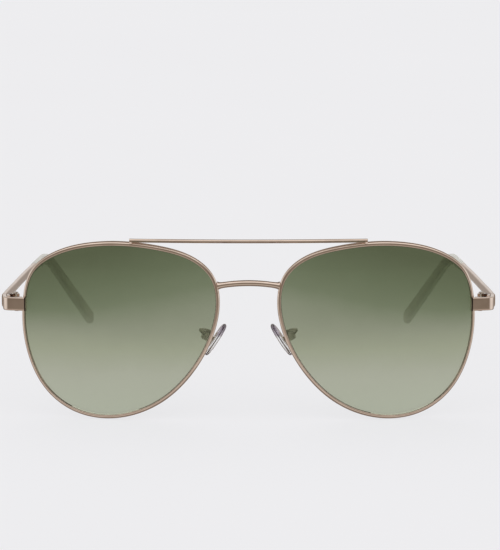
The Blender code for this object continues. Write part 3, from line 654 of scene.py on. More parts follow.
@dataclass
class FrontCurve:
    """Outline of a lens and the curved, tilted surface that both lenses lie on."""

    lens_width: float = 55.9
    lens_height: float = 52.1
    lens_gap: float = 19.0
    base_radius: float = 110.0
    face_form: float = math.radians(5.0)
    tilt: float = math.radians(7.0)
    rim_wall: float = 1.2
    rim_depth: float = 1.8
    rim_split: float = 0.30
    seat_gap: float = 0.06
    joint_height: float = 7.65
    shape: tuple[tuple[float, float], ...] = (
        (0.00, 1.00), (0.32, 0.977), (0.66, 0.868), (0.90, 0.66), (0.985, 0.37), (1.00, 0.08),
        (0.95, -0.30), (0.775, -0.70), (0.516, -0.924), (0.19, -1.00), (-0.118, -0.946),
        (-0.40, -0.795), (-0.73, -0.44), (-0.952, 0.03), (-1.00, 0.34), (-0.945, 0.615),
        (-0.79, 0.795), (-0.42, 0.947),
    )
    curve: np.ndarray = field(init=False)
    normal: np.ndarray = field(init=False)

    def __post_init__(self) -> None:
        """Draws the outline once."""
        self.curve, self.normal = self.outline()

    def sag(self, u: float, v: float = 0.0) -> float:
        """How far the lens curve falls back at a distance from its middle."""
        return self.base_radius - math.sqrt(self.base_radius**2 - u * u - v * v)

    def centre_x(self) -> float:
        """X of a lens's middle."""
        half = self.lens_width / 2
        reach = self.lens_gap / 2 + half * math.cos(self.face_form)
        return reach + self.sag(half) * math.sin(self.face_form)

    def point(self, u: float, v: float, n: float = 0.0) -> Vector:
        """A point by its place on the lens curve.

        Args:
            u: Distance towards the temple.
            v: Distance up.
            n: Distance in front of the curve.

        Returns:
            The point.
        """
        out = Vector((math.cos(self.face_form), math.sin(self.face_form), 0.0))
        level = Vector((math.sin(self.face_form), -math.cos(self.face_form), 0.0))
        rise = Vector((0.0, 0.0, 1.0))
        up = rise * math.cos(self.tilt) + level * math.sin(self.tilt)
        ahead = level * math.cos(self.tilt) - rise * math.sin(self.tilt)
        origin = Vector((self.centre_x(), 0.0, 0.0))
        on_curve = origin + out * u + up * v - ahead * self.sag(u, v)
        return on_curve + (on_curve - (origin - ahead * self.base_radius)).normalized() * n

    def outline(self, samples: int = 1440) -> tuple[np.ndarray, np.ndarray]:
        """Closed natural cubic curve through the shape.

        Args:
            samples: How many points to give.

        Returns:
            The points and their outward normals.
        """
        points = np.array(self.shape) * (self.lens_width / 2, self.lens_height / 2)
        count = len(points)
        spans = np.linalg.norm(np.roll(points, -1, 0) - points, axis=1)
        before = np.roll(spans, 1)
        system = np.zeros((count, count))
        right = np.zeros((count, 2))
        for i in range(count):
            last, after = (i - 1) % count, (i + 1) % count
            system[i, last] += before[i]
            system[i, i] += 2 * (before[i] + spans[i])
            system[i, after] += spans[i]
            leaving = (points[after] - points[i]) / spans[i]
            right[i] = 6 * (leaving - (points[i] - points[last]) / before[i])
        bend = np.linalg.solve(system, right)
        starts = np.concatenate([[0.0], np.cumsum(spans)])
        where = np.linspace(0.0, starts[-1], samples, endpoint=False)
        index = np.searchsorted(starts, where, side="right") - 1
        after = (index + 1) % count
        h = spans[index][:, None]
        t = (where - starts[index])[:, None]
        curve = (
            bend[index] * (h - t) ** 3 / (6 * h)
            + bend[after] * t**3 / (6 * h)
            + (points[index] / h - bend[index] * h / 6) * (h - t)
            + (points[after] / h - bend[after] * h / 6) * t
        )
        ahead = np.roll(curve, -1, 0) - np.roll(curve, 1, 0)
        ahead /= np.linalg.norm(ahead, axis=1)[:, None]
        normal = np.stack([-ahead[:, 1], ahead[:, 0]], axis=1)
        if (normal * curve).sum() < 0:
            normal = -normal
        return curve, normal

    def stations(self, count: int, split: float) -> np.ndarray:
        """Evenly spaced outline points and normals, from above the split round to below it.

        Args:
            count: How many stations.
            split: Width of the gap in the outline; 0 gives a closed loop.

        Returns:
            Rows of u, v and the normal's u and v.
        """
        curve, normal = self.curve, self.normal
        temple_side = np.where(curve[:, 0] > 0)[0]
        start = temple_side[np.argmin(np.abs(curve[temple_side, 1] - self.joint_height))]
        curve, normal = np.roll(curve, -start, 0), np.roll(normal, -start, 0)
        if curve[10, 1] < curve[0, 1]:
            curve, normal = np.roll(curve[::-1], 1, 0), np.roll(normal[::-1], 1, 0)
        closed = np.vstack([curve, curve[:1]])
        closed_normal = np.vstack([normal, normal[:1]])
        steps = np.linalg.norm(np.diff(closed, axis=0), axis=1)
        travel = np.concatenate([[0.0], np.cumsum(steps)])
        picks = np.linspace(split / 2, travel[-1] - split / 2, count, endpoint=split > 0)
        place = [np.interp(picks, travel, closed[:, k]) for k in (0, 1)]
        facing = np.stack([np.interp(picks, travel, closed_normal[:, k]) for k in (0, 1)], axis=1)
        facing /= np.linalg.norm(facing, axis=1)[:, None]
        return np.stack([*place, facing[:, 0], facing[:, 1]], axis=1)

    def edge(self, height: float, temple_side: bool) -> np.ndarray:
        """The lens edge (u, v) at a height, on the temple or the nose side."""
        wanted = self.curve[:, 0] > 0 if temple_side else self.curve[:, 0] < 0
        chosen = self.curve[wanted]
        return chosen[np.argmin(np.abs(chosen[:, 1] - height))]

    def span_x(self, low: float, high: float, temple_side: bool) -> tuple[float, float]:
        """Innermost and outermost X of the rim's outside between two heights.

        Args:
            low: Lower height.
            high: Upper height.
            temple_side: True for the temple side, False for the nose side.

        Returns:
            The two X values.
        """
        reach = []
        for height in np.linspace(low, high, 9):
            u, v = self.edge(height, temple_side)
            outer = u + self.rim_wall if temple_side else u - self.rim_wall
            depths = (-self.rim_depth / 2, 0.0, self.rim_depth / 2)
            reach += [self.point(outer, v, n).x for n in depths]
        return min(reach), max(reach)


@dataclass
class RestPose:
    """Turns and lifts the wearing frame onto the surface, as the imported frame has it."""

    matrix: Matrix

    @classmethod
    def from_frame(cls, joints: Sequence[dict], hinge: Vector) -> "RestPose":
        """Finds the pose from the left temple's joint.

        Args:
            joints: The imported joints.
            hinge: The left hinge's place in the wearing frame.

        Returns:
            The pose.
        """
        joint = next(j for j in joints if j["name"] == "left_temple_fold")
        axis = Vector(joint["axis"])
        turn = Matrix.Rotation(-math.atan2(axis.y, axis.z), 4, "X")
        lift = Vector(joint["pos_m"]) - turn @ (hinge * MM)
        return cls(Matrix.Translation(lift) @ turn @ Matrix.Scale(MM, 4))


@dataclass
class Workshop:
    """What every sub-assembly needs: the curve, the pose and the finishes."""

    curve: FrontCurve
    pose: RestPose
    finishes: dict[Slot, bpy.types.Material]

    def deliver(
        self, piece: bpy.types.Object, node: str, slot: Slot, carrier: Carrier, pair: bool = True,
        finish: Optional[bpy.types.Material] = None,
    ) -> None:
        """Places a finished piece, dresses it and hangs it on its body, with its mirrored twin.

        Args:
            piece: The piece, in the wearing frame.
            node: The CAD node it stands for, without its side.
            slot: Its finish.
            carrier: What it rides on.
            pair: False for a piece that crosses the middle.
            finish: A finish of its own, instead of the slot's usual one.
        """
        Bench.smooth(piece)
        Bench.turn(piece, self.pose.matrix)
        if not piece.data.materials:
            piece.data.materials.append(finish or self.finishes[slot])
        base = piece.name
        made = [(piece, "left")]
        if pair:
            twin = piece.copy()
            twin.data = piece.data.copy()
            bpy.context.scene.collection.objects.link(twin)
            twin.data.transform(Matrix.Diagonal((-1.0, 1.0, 1.0, 1.0)))
            twin.data.flip_normals()
            made.append((twin, "right"))
        for thing, side in made:
            thing.name = f"{base}_{side}" if pair else base
            thing.data.name = thing.name
            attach(thing, carrier.body(side))
            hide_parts(f"{node}_{side}" if pair else node)
        LOG.info("%s: %d faces, %s", base, len(piece.data.polygons), slot.value)


# ------------------------------------------------------------------------------ rims and lenses


@dataclass
class Rims:
    """The two rim wires, each grooved for its lens, and the lenses."""

    shop: Workshop
    outer_round: float = 0.72
    inner_round: float = 0.22
    temple_thin: float = 0.22
    top_drop: float = 0.33
    top_shave: float = 0.27
    groove_depth: float = 0.20
    groove_width: float = 0.5
    lens_thickness: float = 1.6
    lens_fit: float = -0.06
    lens_chamfer: float = 0.02
    rim_count: int = 300
    lens_count: int = 240

    def inner_wall(self, a: float, b: float) -> float:
        """How far the wire's inside stands out from the lens outline.

        Args:
            a: Sideways part of the outline's normal.
            b: Upward part of the outline's normal.

        Returns:
            The distance, in millimetres.
        """
        return self.temple_thin * max(a, 0.0) ** 2 - self.top_drop * max(b, 0.0) ** 2

    def profile(self, a: float, b: float) -> list[tuple[float, float]]:
        """The wire's section at one place on the outline.

        Args:
            a: Sideways part of the outline's normal.
            b: Upward part of the outline's normal.

        Returns:
            Points as distance out from the lens edge and distance forward.
        """
        half, inner = self.shop.curve.rim_depth / 2, self.inner_wall(a, b)
        wall = self.shop.curve.rim_wall - self.top_shave * max(b, 0.0) ** 2
        corners = (
            (inner + self.inner_round, half - self.inner_round, self.inner_round, 180.0, 90.0),
            (wall - self.outer_round, half - self.outer_round, self.outer_round, 90.0, 0.0),
            (wall - self.outer_round, self.outer_round - half, self.outer_round, 0.0, -90.0),
            (inner + self.inner_round, self.inner_round - half, self.inner_round, -90.0, -180.0),
        )
        points = []
        for r, n, radius, first, last in corners:
            for degrees in np.linspace(first, last, 7):
                angle = math.radians(degrees)
                points.append((r + radius * math.cos(angle), n + radius * math.sin(angle)))
        groove = self.groove_width / 2
        return points + [(inner, -groove), (inner + self.groove_depth, 0.0), (inner, groove)]

    def rings(self, stations: np.ndarray) -> np.ndarray:
        """Upright sections of the wire at each station of the outline.

        Args:
            stations: Rows of u, v and normal.

        Returns:
            Points, as stations by section points by 3.
        """
        curve = self.shop.curve
        up = (curve.point(0.0, 0.01) - curve.point(0.0, -0.01)).normalized()
        rings = []
        for u, v, a, b in stations:
            seat = curve.point(u, v)
            ahead = (curve.point(u, 0.0, 1.0) - curve.point(u, 0.0)).normalized()
            along = (curve.point(u + 0.01, 0.0) - curve.point(u - 0.01, 0.0)).normalized()
            rings.append([
                seat + (along * a + up * b) * r + ahead * n for r, n in self.profile(a, b)
            ])
        return np.array(rings)

    def build_rims(self) -> None:
        """Sweeps the rim wires round the lenses."""
        stations = self.shop.curve.stations(self.rim_count, self.shop.curve.rim_split)
        piece = Bench.tube("rim_wire", self.rings(stations))
        self.shop.deliver(piece, "rim", Slot.METAL, Carrier.FRONT)

    def build_lenses(self) -> None:
        """Shapes the lenses as domed shells with a bevelled edge in the groove."""
        half = self.lens_thickness / 2
        groove = self.groove_width / 2
        stations = self.shop.curve.stations(self.lens_count, 0.0)
        for row in stations:
            shift = self.inner_wall(row[2], row[3])
            row[0] += row[2] * shift
            row[1] += row[3] * shift
        inset = -self.lens_fit - self.lens_chamfer
        rings = []
        shares = (0.006, 0.12, 0.25, 0.38, 0.5, 0.61, 0.71, 0.8, 0.88, 0.95)
        point = self.shop.curve.point
        for share in shares:
            rings.append([point((u + a * inset) * share, (v + b * inset) * share, -half)
                          for u, v, a, b in stations])
        edge = (
            (inset, -half), (-self.lens_fit, self.lens_chamfer - half), (-self.lens_fit, -groove),
            (self.groove_depth - self.lens_fit, 0.0), (-self.lens_fit, groove),
            (-self.lens_fit, half - self.lens_chamfer), (inset, half),
        )
        for r, n in edge:
            rings.append([point(u + a * r, v + b * r, n) for u, v, a, b in stations])
        for share in reversed(shares):
            rings.append([point((u + a * inset) * share, (v + b * inset) * share, half)
                          for u, v, a, b in stations])
        piece = Bench.tube("lens_glass", np.array(rings))
        self.shop.deliver(piece, "lens", Slot.LENS, Carrier.FRONT)


# ------------------------------------------------------------------------------ bridge and brow bar


@dataclass
class Bridges:
    """The arched bridge between the rims and the brow bar above it."""

    shop: Workshop
    height: float = 13.42
    tall: float = 1.76
    deep: float = 1.5
    rise: float = 1.1
    bulge: float = 1.6
    solder_reach: float = 0.55
    solder_swell: float = 0.6
    bar_half: float = 34.5
    bar_tall: float = 0.87
    bar_deep: float = 1.35
    bar_bow: float = 2.0
    bar_square: float = 3.0
    bar_overlap: float = 0.2
    bar_lean: float = math.radians(33.0)
    edge_round: float = 0.35
    foot: float = 0.7
    foot_reach: float = 0.35
    fillet: float = 1.0

    def build_bridge(self) -> None:
        """Draws the bridge wire out to each rim, where solder widens it."""
        curve = self.shop.curve
        u, v = curve.edge(self.height, False)
        end = curve.point(u - curve.rim_wall, v)
        end_x = curve.span_x(self.height - self.tall / 2, self.height + self.tall / 2, False)[0]
        end_x += 0.5 * curve.rim_wall
        rings = []
        for share in np.linspace(-1.0, 1.0, 121):
            arch = 1.0 - share * share
            from_end = (1.0 - abs(share)) * end_x
            swell = 1.0 + self.solder_swell * math.exp(-from_end / self.solder_reach)
            centre = (share * end_x, end.y - self.bulge * arch, end.z + self.rise * arch)
            half_deep, half_tall = self.deep / 2 * swell, self.tall / 2 * swell
            rings.append(oval(centre, (0, 1, 0), (0, 0, 1), half_deep, half_tall, 28))
        piece = Bench.tube("bridge_wire", np.array(rings))
        self.shop.deliver(piece, "bridge", Slot.METAL, Carrier.FRONT, pair=False)

    def bar_end(self) -> tuple[float, float, Vector]:
        """Y and Z of the bar's end, and the rim's front corner below it."""
        curve = self.shop.curve
        upper = curve.curve[curve.curve[:, 1] > 0]
        level = np.array([curve.point(u, v).x for u, v in upper])
        top = upper[int(np.argmin(np.abs(level - self.bar_half)))]
        corner = curve.point(top[0], top[1] + curve.rim_wall - self.edge_round, curve.rim_depth / 2)
        y = corner.y - curve.seat_gap - self.bar_deep / 2
        rim_top = curve.point(top[0], top[1] + curve.rim_wall, 0.0).z
        z = rim_top + self.bar_tall * (0.5 - self.bar_overlap)
        return y, z, corner

    def build_bar(self) -> None:
        """Draws the brow bar with a square-cut foot and a solder fillet at each end."""
        end_y, end_z, corner = self.bar_end()
        deep = (0.0, math.cos(self.bar_lean), -math.sin(self.bar_lean))
        tall = (0.0, math.sin(self.bar_lean), math.cos(self.bar_lean))
        rings = []
        for share in np.linspace(-1.0, 1.0, 141):
            centre = (share * self.bar_half, end_y - self.bar_bow * (1.0 - share * share), end_z)
            rings.append(oval(
                centre, deep, tall, self.bar_deep / 2, self.bar_tall / 2, 32, self.bar_square
            ))
        parts = [Bench.tube("brow_bar_rail", np.array(rings), edge=0.12)]
        for side in (1.0, -1.0):
            toe, sole = end_y - self.foot_reach, corner.z - self.foot * 0.75
            heel = corner.y + 0.15
            profile = ((toe, sole), (heel, sole), (heel, end_z), (end_y + 0.1, end_z))
            foot = Bench.prism("foot", profile, -self.foot / 2, self.foot / 2, 0.09)
            upright = Matrix(((0, 0, 1, 0), (1, 0, 0, 0), (0, 1, 0, 0), (0, 0, 0, 1)))
            aside = side * (self.bar_half - self.foot / 2)
            Bench.turn(foot, Matrix.Translation((aside, 0, 0)) @ upright)
            parts.append(foot)
            start = side * (self.bar_half - self.foot)
            bottom = end_z - self.bar_tall / 2
            plan = (
                (start + side * 0.2, bottom - self.foot * 0.7), (start + side * 0.2, bottom + 0.2),
                (start - side * self.fillet, bottom + 0.2),
                (start - side * self.fillet * 0.35, bottom - 0.18),
            )
            wedge = Bench.prism("fillet", plan, 0.0, 0.8, 0.08)
            stand = Matrix.Translation((0.0, corner.y + 0.1, 0.0))
            stand = stand @ Matrix.Rotation(math.pi / 2, 4, "X")
            Bench.turn(wedge, stand)
            parts.append(wedge)
        piece = Bench.join(parts, "brow_bar_rail")
        self.shop.deliver(piece, "brow_bar", Slot.METAL, Carrier.FRONT, pair=False)


# ------------------------------------------------------------------------------ screws


@dataclass(frozen=True)
class SlottedScrew:
    """A turned screw with a slotted, slightly domed head."""

    diameter: float
    head: float
    head_tall: float
    slot_width: float = 0.3
    slot_depth: float = 0.25
    sides: int = 40

    def build(self, name: str, start: Vector, end: Vector) -> bpy.types.Object:
        """Turns the screw between two points, with its head beyond the second.

        Args:
            name: The screw's name.
            start: Free end of the shank.
            end: Where the head begins.

        Returns:
            The screw.
        """
        along = (end - start).normalized()
        turn = along.to_track_quat("Z", "Y").to_matrix()
        length = (end - start).length
        shank, head, top = self.diameter / 2, self.head / 2, length + self.head_tall
        turned = (
            (shank * 0.3, -0.01), (shank * 0.8, 0.0), (shank, 0.12), (shank, length),
            (head * 0.93, length), (head, length + 0.07), (head, top - 0.16),
            (head * 0.95, top - 0.07), (head * 0.85, top - 0.02),
            (head * 0.5, top), (head * 0.08, top),
        )
        rings = [
            oval(start + along * at, turn.col[0], turn.col[1], r, r, self.sides) for r, at in turned
        ]
        piece = Bench.tube(name, np.array(rings))
        wide = self.head
        size = (wide, self.slot_width / 2, self.slot_depth)
        cutter = Bench.block("slot", [-s for s in size], size, 0.0)
        Bench.turn(cutter, Matrix.Translation(start + along * top) @ turn.to_4x4())
        Bench.cut(piece, cutter)
        return piece


# ------------------------------------------------------------------------------ side joints


@dataclass
class SideJoints:
    """Endpieces, the blocks that close the rims, and the hinges."""

    shop: Workshop
    tall: float = 3.9
    thick: float = 1.2
    lap: float = 1.15
    cover: float = 0.42
    yaw: float = math.radians(12.0)
    bend: float = 2.0
    square: float = 7.0
    # Size of the near-black block of painted shade at each endpiece's inner end.
    shade_cap: tuple[float, float, float] = (0.44, 1.30, 3.96)
    overhang: float = 5.25
    splay: float = math.radians(8.0)
    plate_clear: float = 0.3
    block_wide: float = 2.5
    block_deep: float = 2.7
    block_tall: float = 3.5
    screw_forward: float = 0.15
    behind_rim: float = 5.7
    inboard: float = 2.9
    knuckle: float = 2.7
    knuckle_middle: float = 1.3
    knuckle_gap: float = 0.10
    knuckle_overrun: float = 0.15
    leaf_thick: float = 0.85
    front_leaf: float = 4.2
    temple_leaf: float = 6.2
    leaf_start: float = 0.9
    temple_leaf_tall: float = 2.7
    step_out: float = 0.25
    hinge_screw: SlottedScrew = SlottedScrew(1.1, 2.0, 0.5)
    rim_screw: SlottedScrew = SlottedScrew(0.9, 1.7, 0.5)

    def __post_init__(self) -> None:
        """Works out the shared places once."""
        curve = self.shop.curve
        u, v = curve.edge(curve.joint_height, True)
        front = curve.point(u, v, curve.rim_depth / 2)
        half = self.block_tall / 2
        self.rim_out = curve.span_x(curve.joint_height - half, curve.joint_height + half, True)[1]
        self.outer = self.rim_out + self.overhang
        self.slope = math.tan(self.yaw)
        self.inner_end = self.rim_out - self.lap
        self.cover_end = self.inner_end - self.cover
        self.half_plate = self.thick / 2 / math.cos(self.yaw)
        self.plate_y = front.y - curve.seat_gap - self.half_plate - self.slope * self.plate_clear
        self.z = curve.point(u, v).z
        behind = curve.point(u, v).y + self.behind_rim
        self.axis = Vector((self.outer - self.inboard, behind, self.z))

    def leg_inner_x(self, y: float) -> float:
        """Inside face of the endpiece's return leg."""
        corner_y = self.plate_y + (self.outer - self.inner_end) * self.slope
        inside = self.outer - self.thick / math.cos(self.splay)
        return inside + (y - corner_y) * math.tan(self.splay)

    def temple_outer_x(self) -> float:
        """Outside face of the temple at the hinge."""
        return self.leg_inner_x(self.axis.y) + self.thick / math.cos(self.splay) + self.step_out

    def build_endpieces(self) -> None:
        """Bends the endpieces round the corner from the rim's front to the hinge."""
        end_y = self.axis.y - self.shop.curve.seat_gap / 2
        half_leg = self.thick / math.cos(self.splay) / 2
        leg_end = Vector((self.leg_inner_x(end_y) + half_leg, end_y, self.z))
        turn = math.pi / 2 - self.yaw - self.splay
        reach = self.bend * math.tan(turn / 2)
        leg_x = self.outer - half_leg
        corner = Vector((leg_x, self.plate_y + (leg_x - self.inner_end) * self.slope, self.z))
        along = Vector((math.cos(self.yaw), math.sin(self.yaw), 0.0))
        side = Vector((-along.y, along.x, 0.0))
        arc_start = corner - along * reach
        arc_centre = arc_start + side * self.bend
        first = Vector((self.cover_end, self.plate_y - self.cover * self.slope, self.z))
        route = [(first.lerp(arc_start, share), side) for share in np.linspace(0.0, 1.0, 8)[:-1]]
        for share in np.linspace(0.0, 1.0, 21):
            swing = Matrix.Rotation(turn * share, 3, "Z")
            route.append((arc_centre - swing @ side * self.bend, swing @ side))
        arc_end, arc_side = route[-1]
        for share in np.linspace(0.0, 1.0, 8)[1:]:
            across = arc_side.lerp(Vector((-1.0, 0.0, 0.0)), share**3).normalized()
            route.append((arc_end.lerp(leg_end, share), across))
        rings = [oval(at, across, (0, 0, 1), self.thick / 2, self.tall / 2, 48, self.square)
                 for at, across in route]
        piece = Bench.tube("endpiece_plate", np.array(rings), edge=0.10)
        self.shop.deliver(piece, "endpiece", Slot.METAL, Carrier.FRONT)

    def build_shade_caps(self) -> None:
        """Closes the endpieces' inner ends, where they meet the rims, with a near-black block of
        painted shade that stands in for the shadowed gap there.
        """
        wide, deep, tall = (size / 2 for size in self.shade_cap)
        cap = Bench.block("endpiece_painted_shadow", (-wide, -deep, -tall), (wide, deep, tall), 0.05)
        middle = Vector((self.cover_end, self.plate_y - self.cover * self.slope, self.z))
        along = Vector((math.cos(self.yaw), math.sin(self.yaw), 0.0))
        seated = Matrix.Translation(middle + along * wide * 1.1)
        Bench.turn(cap, seated @ Matrix.Rotation(self.yaw, 4, "Z"))
        # Painted shade: a near-black finish that stands in for the shadow in the gap between the
        # endpiece's end and the rim.
        gap_shadow = MetalFinish(
            "painted_gap_shadow", (0.060, 0.048, 0.038), (0.038, 0.030, 0.024), (0.30, 0.42)
        )
        self.shop.deliver(cap, "endpiece", Slot.METAL, Carrier.FRONT, finish=gap_shadow.make())

    def build_blocks(self) -> None:
        """Shapes the two blocks behind each endpiece and the screw that pulls them together."""
        gap, split = self.shop.curve.seat_gap, self.shop.curve.rim_split
        inner = self.rim_out - 0.15
        outer = self.rim_out + gap + self.block_wide
        behind_plate = self.plate_y + self.half_plate + gap
        front = [behind_plate + (x - self.inner_end) * self.slope for x in (inner, outer)]
        back = front[0] + self.block_deep
        plan = ((inner, front[0]), (outer, front[1]), (outer, back), (inner, back))
        half_tall = self.block_tall / 2
        upper = Bench.prism("closing_block_top", plan, self.z + split / 2, self.z + half_tall, 0.18)
        self.shop.deliver(upper, "closing_block_upper", Slot.METAL, Carrier.FRONT)
        lower = Bench.prism("closing_block_base", plan, self.z - half_tall, self.z - split / 2, 0.18)
        self.shop.deliver(lower, "closing_block_lower", Slot.METAL, Carrier.FRONT)
        x = self.rim_out + gap + self.block_wide / 2
        y = self.plate_y + self.half_plate + gap + (x - self.inner_end) * self.slope
        y += self.block_deep / 2 - self.screw_forward
        start = Vector((x, y, self.z + self.block_tall / 2))
        end = Vector((x, y, self.z - self.block_tall / 2 - gap))
        screw = self.rim_screw.build("rim_screw_turned", start, end)
        self.shop.deliver(screw, "rim_screw", Slot.SCREW,
                          Carrier.FRONT)

    def knuckle_plan(self, inside: float, first: float, offset: float) -> list[tuple[float, float]]:
        """Outline of a knuckle that curls from a leaf round the pin.

        Args:
            inside: X where it meets the leaf.
            first: 1 where the curl starts behind the pin, -1 where it starts in front of it.
            offset: How far the leaf's end stands from the pin's middle.

        Returns:
            The outline's corners.
        """
        radius = self.knuckle / 2
        plan = [(inside, self.axis.y + first * offset), (inside, self.axis.y + first * radius)]
        for share in np.linspace(0.0, 1.0, 37):
            angle = -first * math.pi / 2 * (3.0 * share - 1.0)
            across, back = radius * math.cos(angle), radius * math.sin(angle)
            plan.append((self.axis.x + across, self.axis.y + back))
        return plan

    def build_hinges(self) -> None:
        """Curls the two outer knuckles of each hinge from the front's leaf, and turns the screw
        through them.
        """
        gap = self.shop.curve.seat_gap
        half, middle = self.tall / 2, self.knuckle_middle / 2
        ends = [self.axis.y - self.knuckle_gap, self.axis.y - self.knuckle_gap - self.front_leaf]
        faces = [self.leg_inner_x(y) - gap for y in ends]
        leaf = (
            (faces[0], ends[0]), (faces[1], ends[1]),
            (faces[1] - self.leaf_thick, ends[1]), (faces[0] - self.leaf_thick, ends[0]),
        )
        radius = self.knuckle / 2
        inside = self.leg_inner_x(self.axis.y - radius) - gap - self.leaf_thick / 2
        curl = self.knuckle_plan(inside, -1.0, self.knuckle_overrun)
        parts = [
            Bench.prism("hinge_front", leaf, self.z - half, self.z + half, 0.1),
            Bench.prism("curl", curl, self.z - half, self.z - middle - self.knuckle_gap, 0.07),
            Bench.prism("curl", curl, self.z + middle + self.knuckle_gap, self.z + half, 0.07),
        ]
        hinge = Bench.join(parts, "hinge_front")
        self.shop.deliver(hinge, "front_hinge", Slot.METAL, Carrier.FRONT)
        start = self.axis - Vector((0.0, 0.0, half))
        end = self.axis + Vector((0.0, 0.0, half + gap))
        self.shop.deliver(self.hinge_screw.build("hinge_screw_turned", start, end), "hinge_screw",
                          Slot.SCREW, Carrier.FRONT)

    def build_temple_leaf(self, temple_inner: float) -> None:
        """Shapes the leaf and middle knuckle that ride on the temple.

        Args:
            temple_inner: Inside face of the temple beside the leaf.
        """
        inside = temple_inner - self.shop.curve.seat_gap
        half = self.temple_leaf_tall / 2
        low = (inside - self.leaf_thick, self.axis.y + self.leaf_start, self.z - half)
        high = (inside, self.axis.y + self.temple_leaf, self.z + half)
        curl = self.knuckle_plan(inside - self.leaf_thick / 2, 1.0, self.knuckle_gap)
        middle = self.knuckle_middle / 2
        parts = [
            Bench.block("hinge_temple", low, high, 0.12),
            Bench.prism("curl", curl, self.z - middle, self.z + middle, 0.07),
        ]
        # Painted shade: the temple's leaf and knuckle get a darker copy of the plate, standing in for
        # the shade they sit in behind the endpiece.
        shaded_hinge_finish = MetalFinish(
            "hinge_painted_shade", (0.36, 0.27, 0.22), (0.28, 0.205, 0.165), (0.22, 0.32)
        )
        hinge = Bench.join(parts, "hinge_temple")
        self.shop.deliver(hinge, "temple_hinge", Slot.METAL, Carrier.TEMPLE,
                          finish=shaded_hinge_finish.make())


# ------------------------------------------------------------------------------ temples


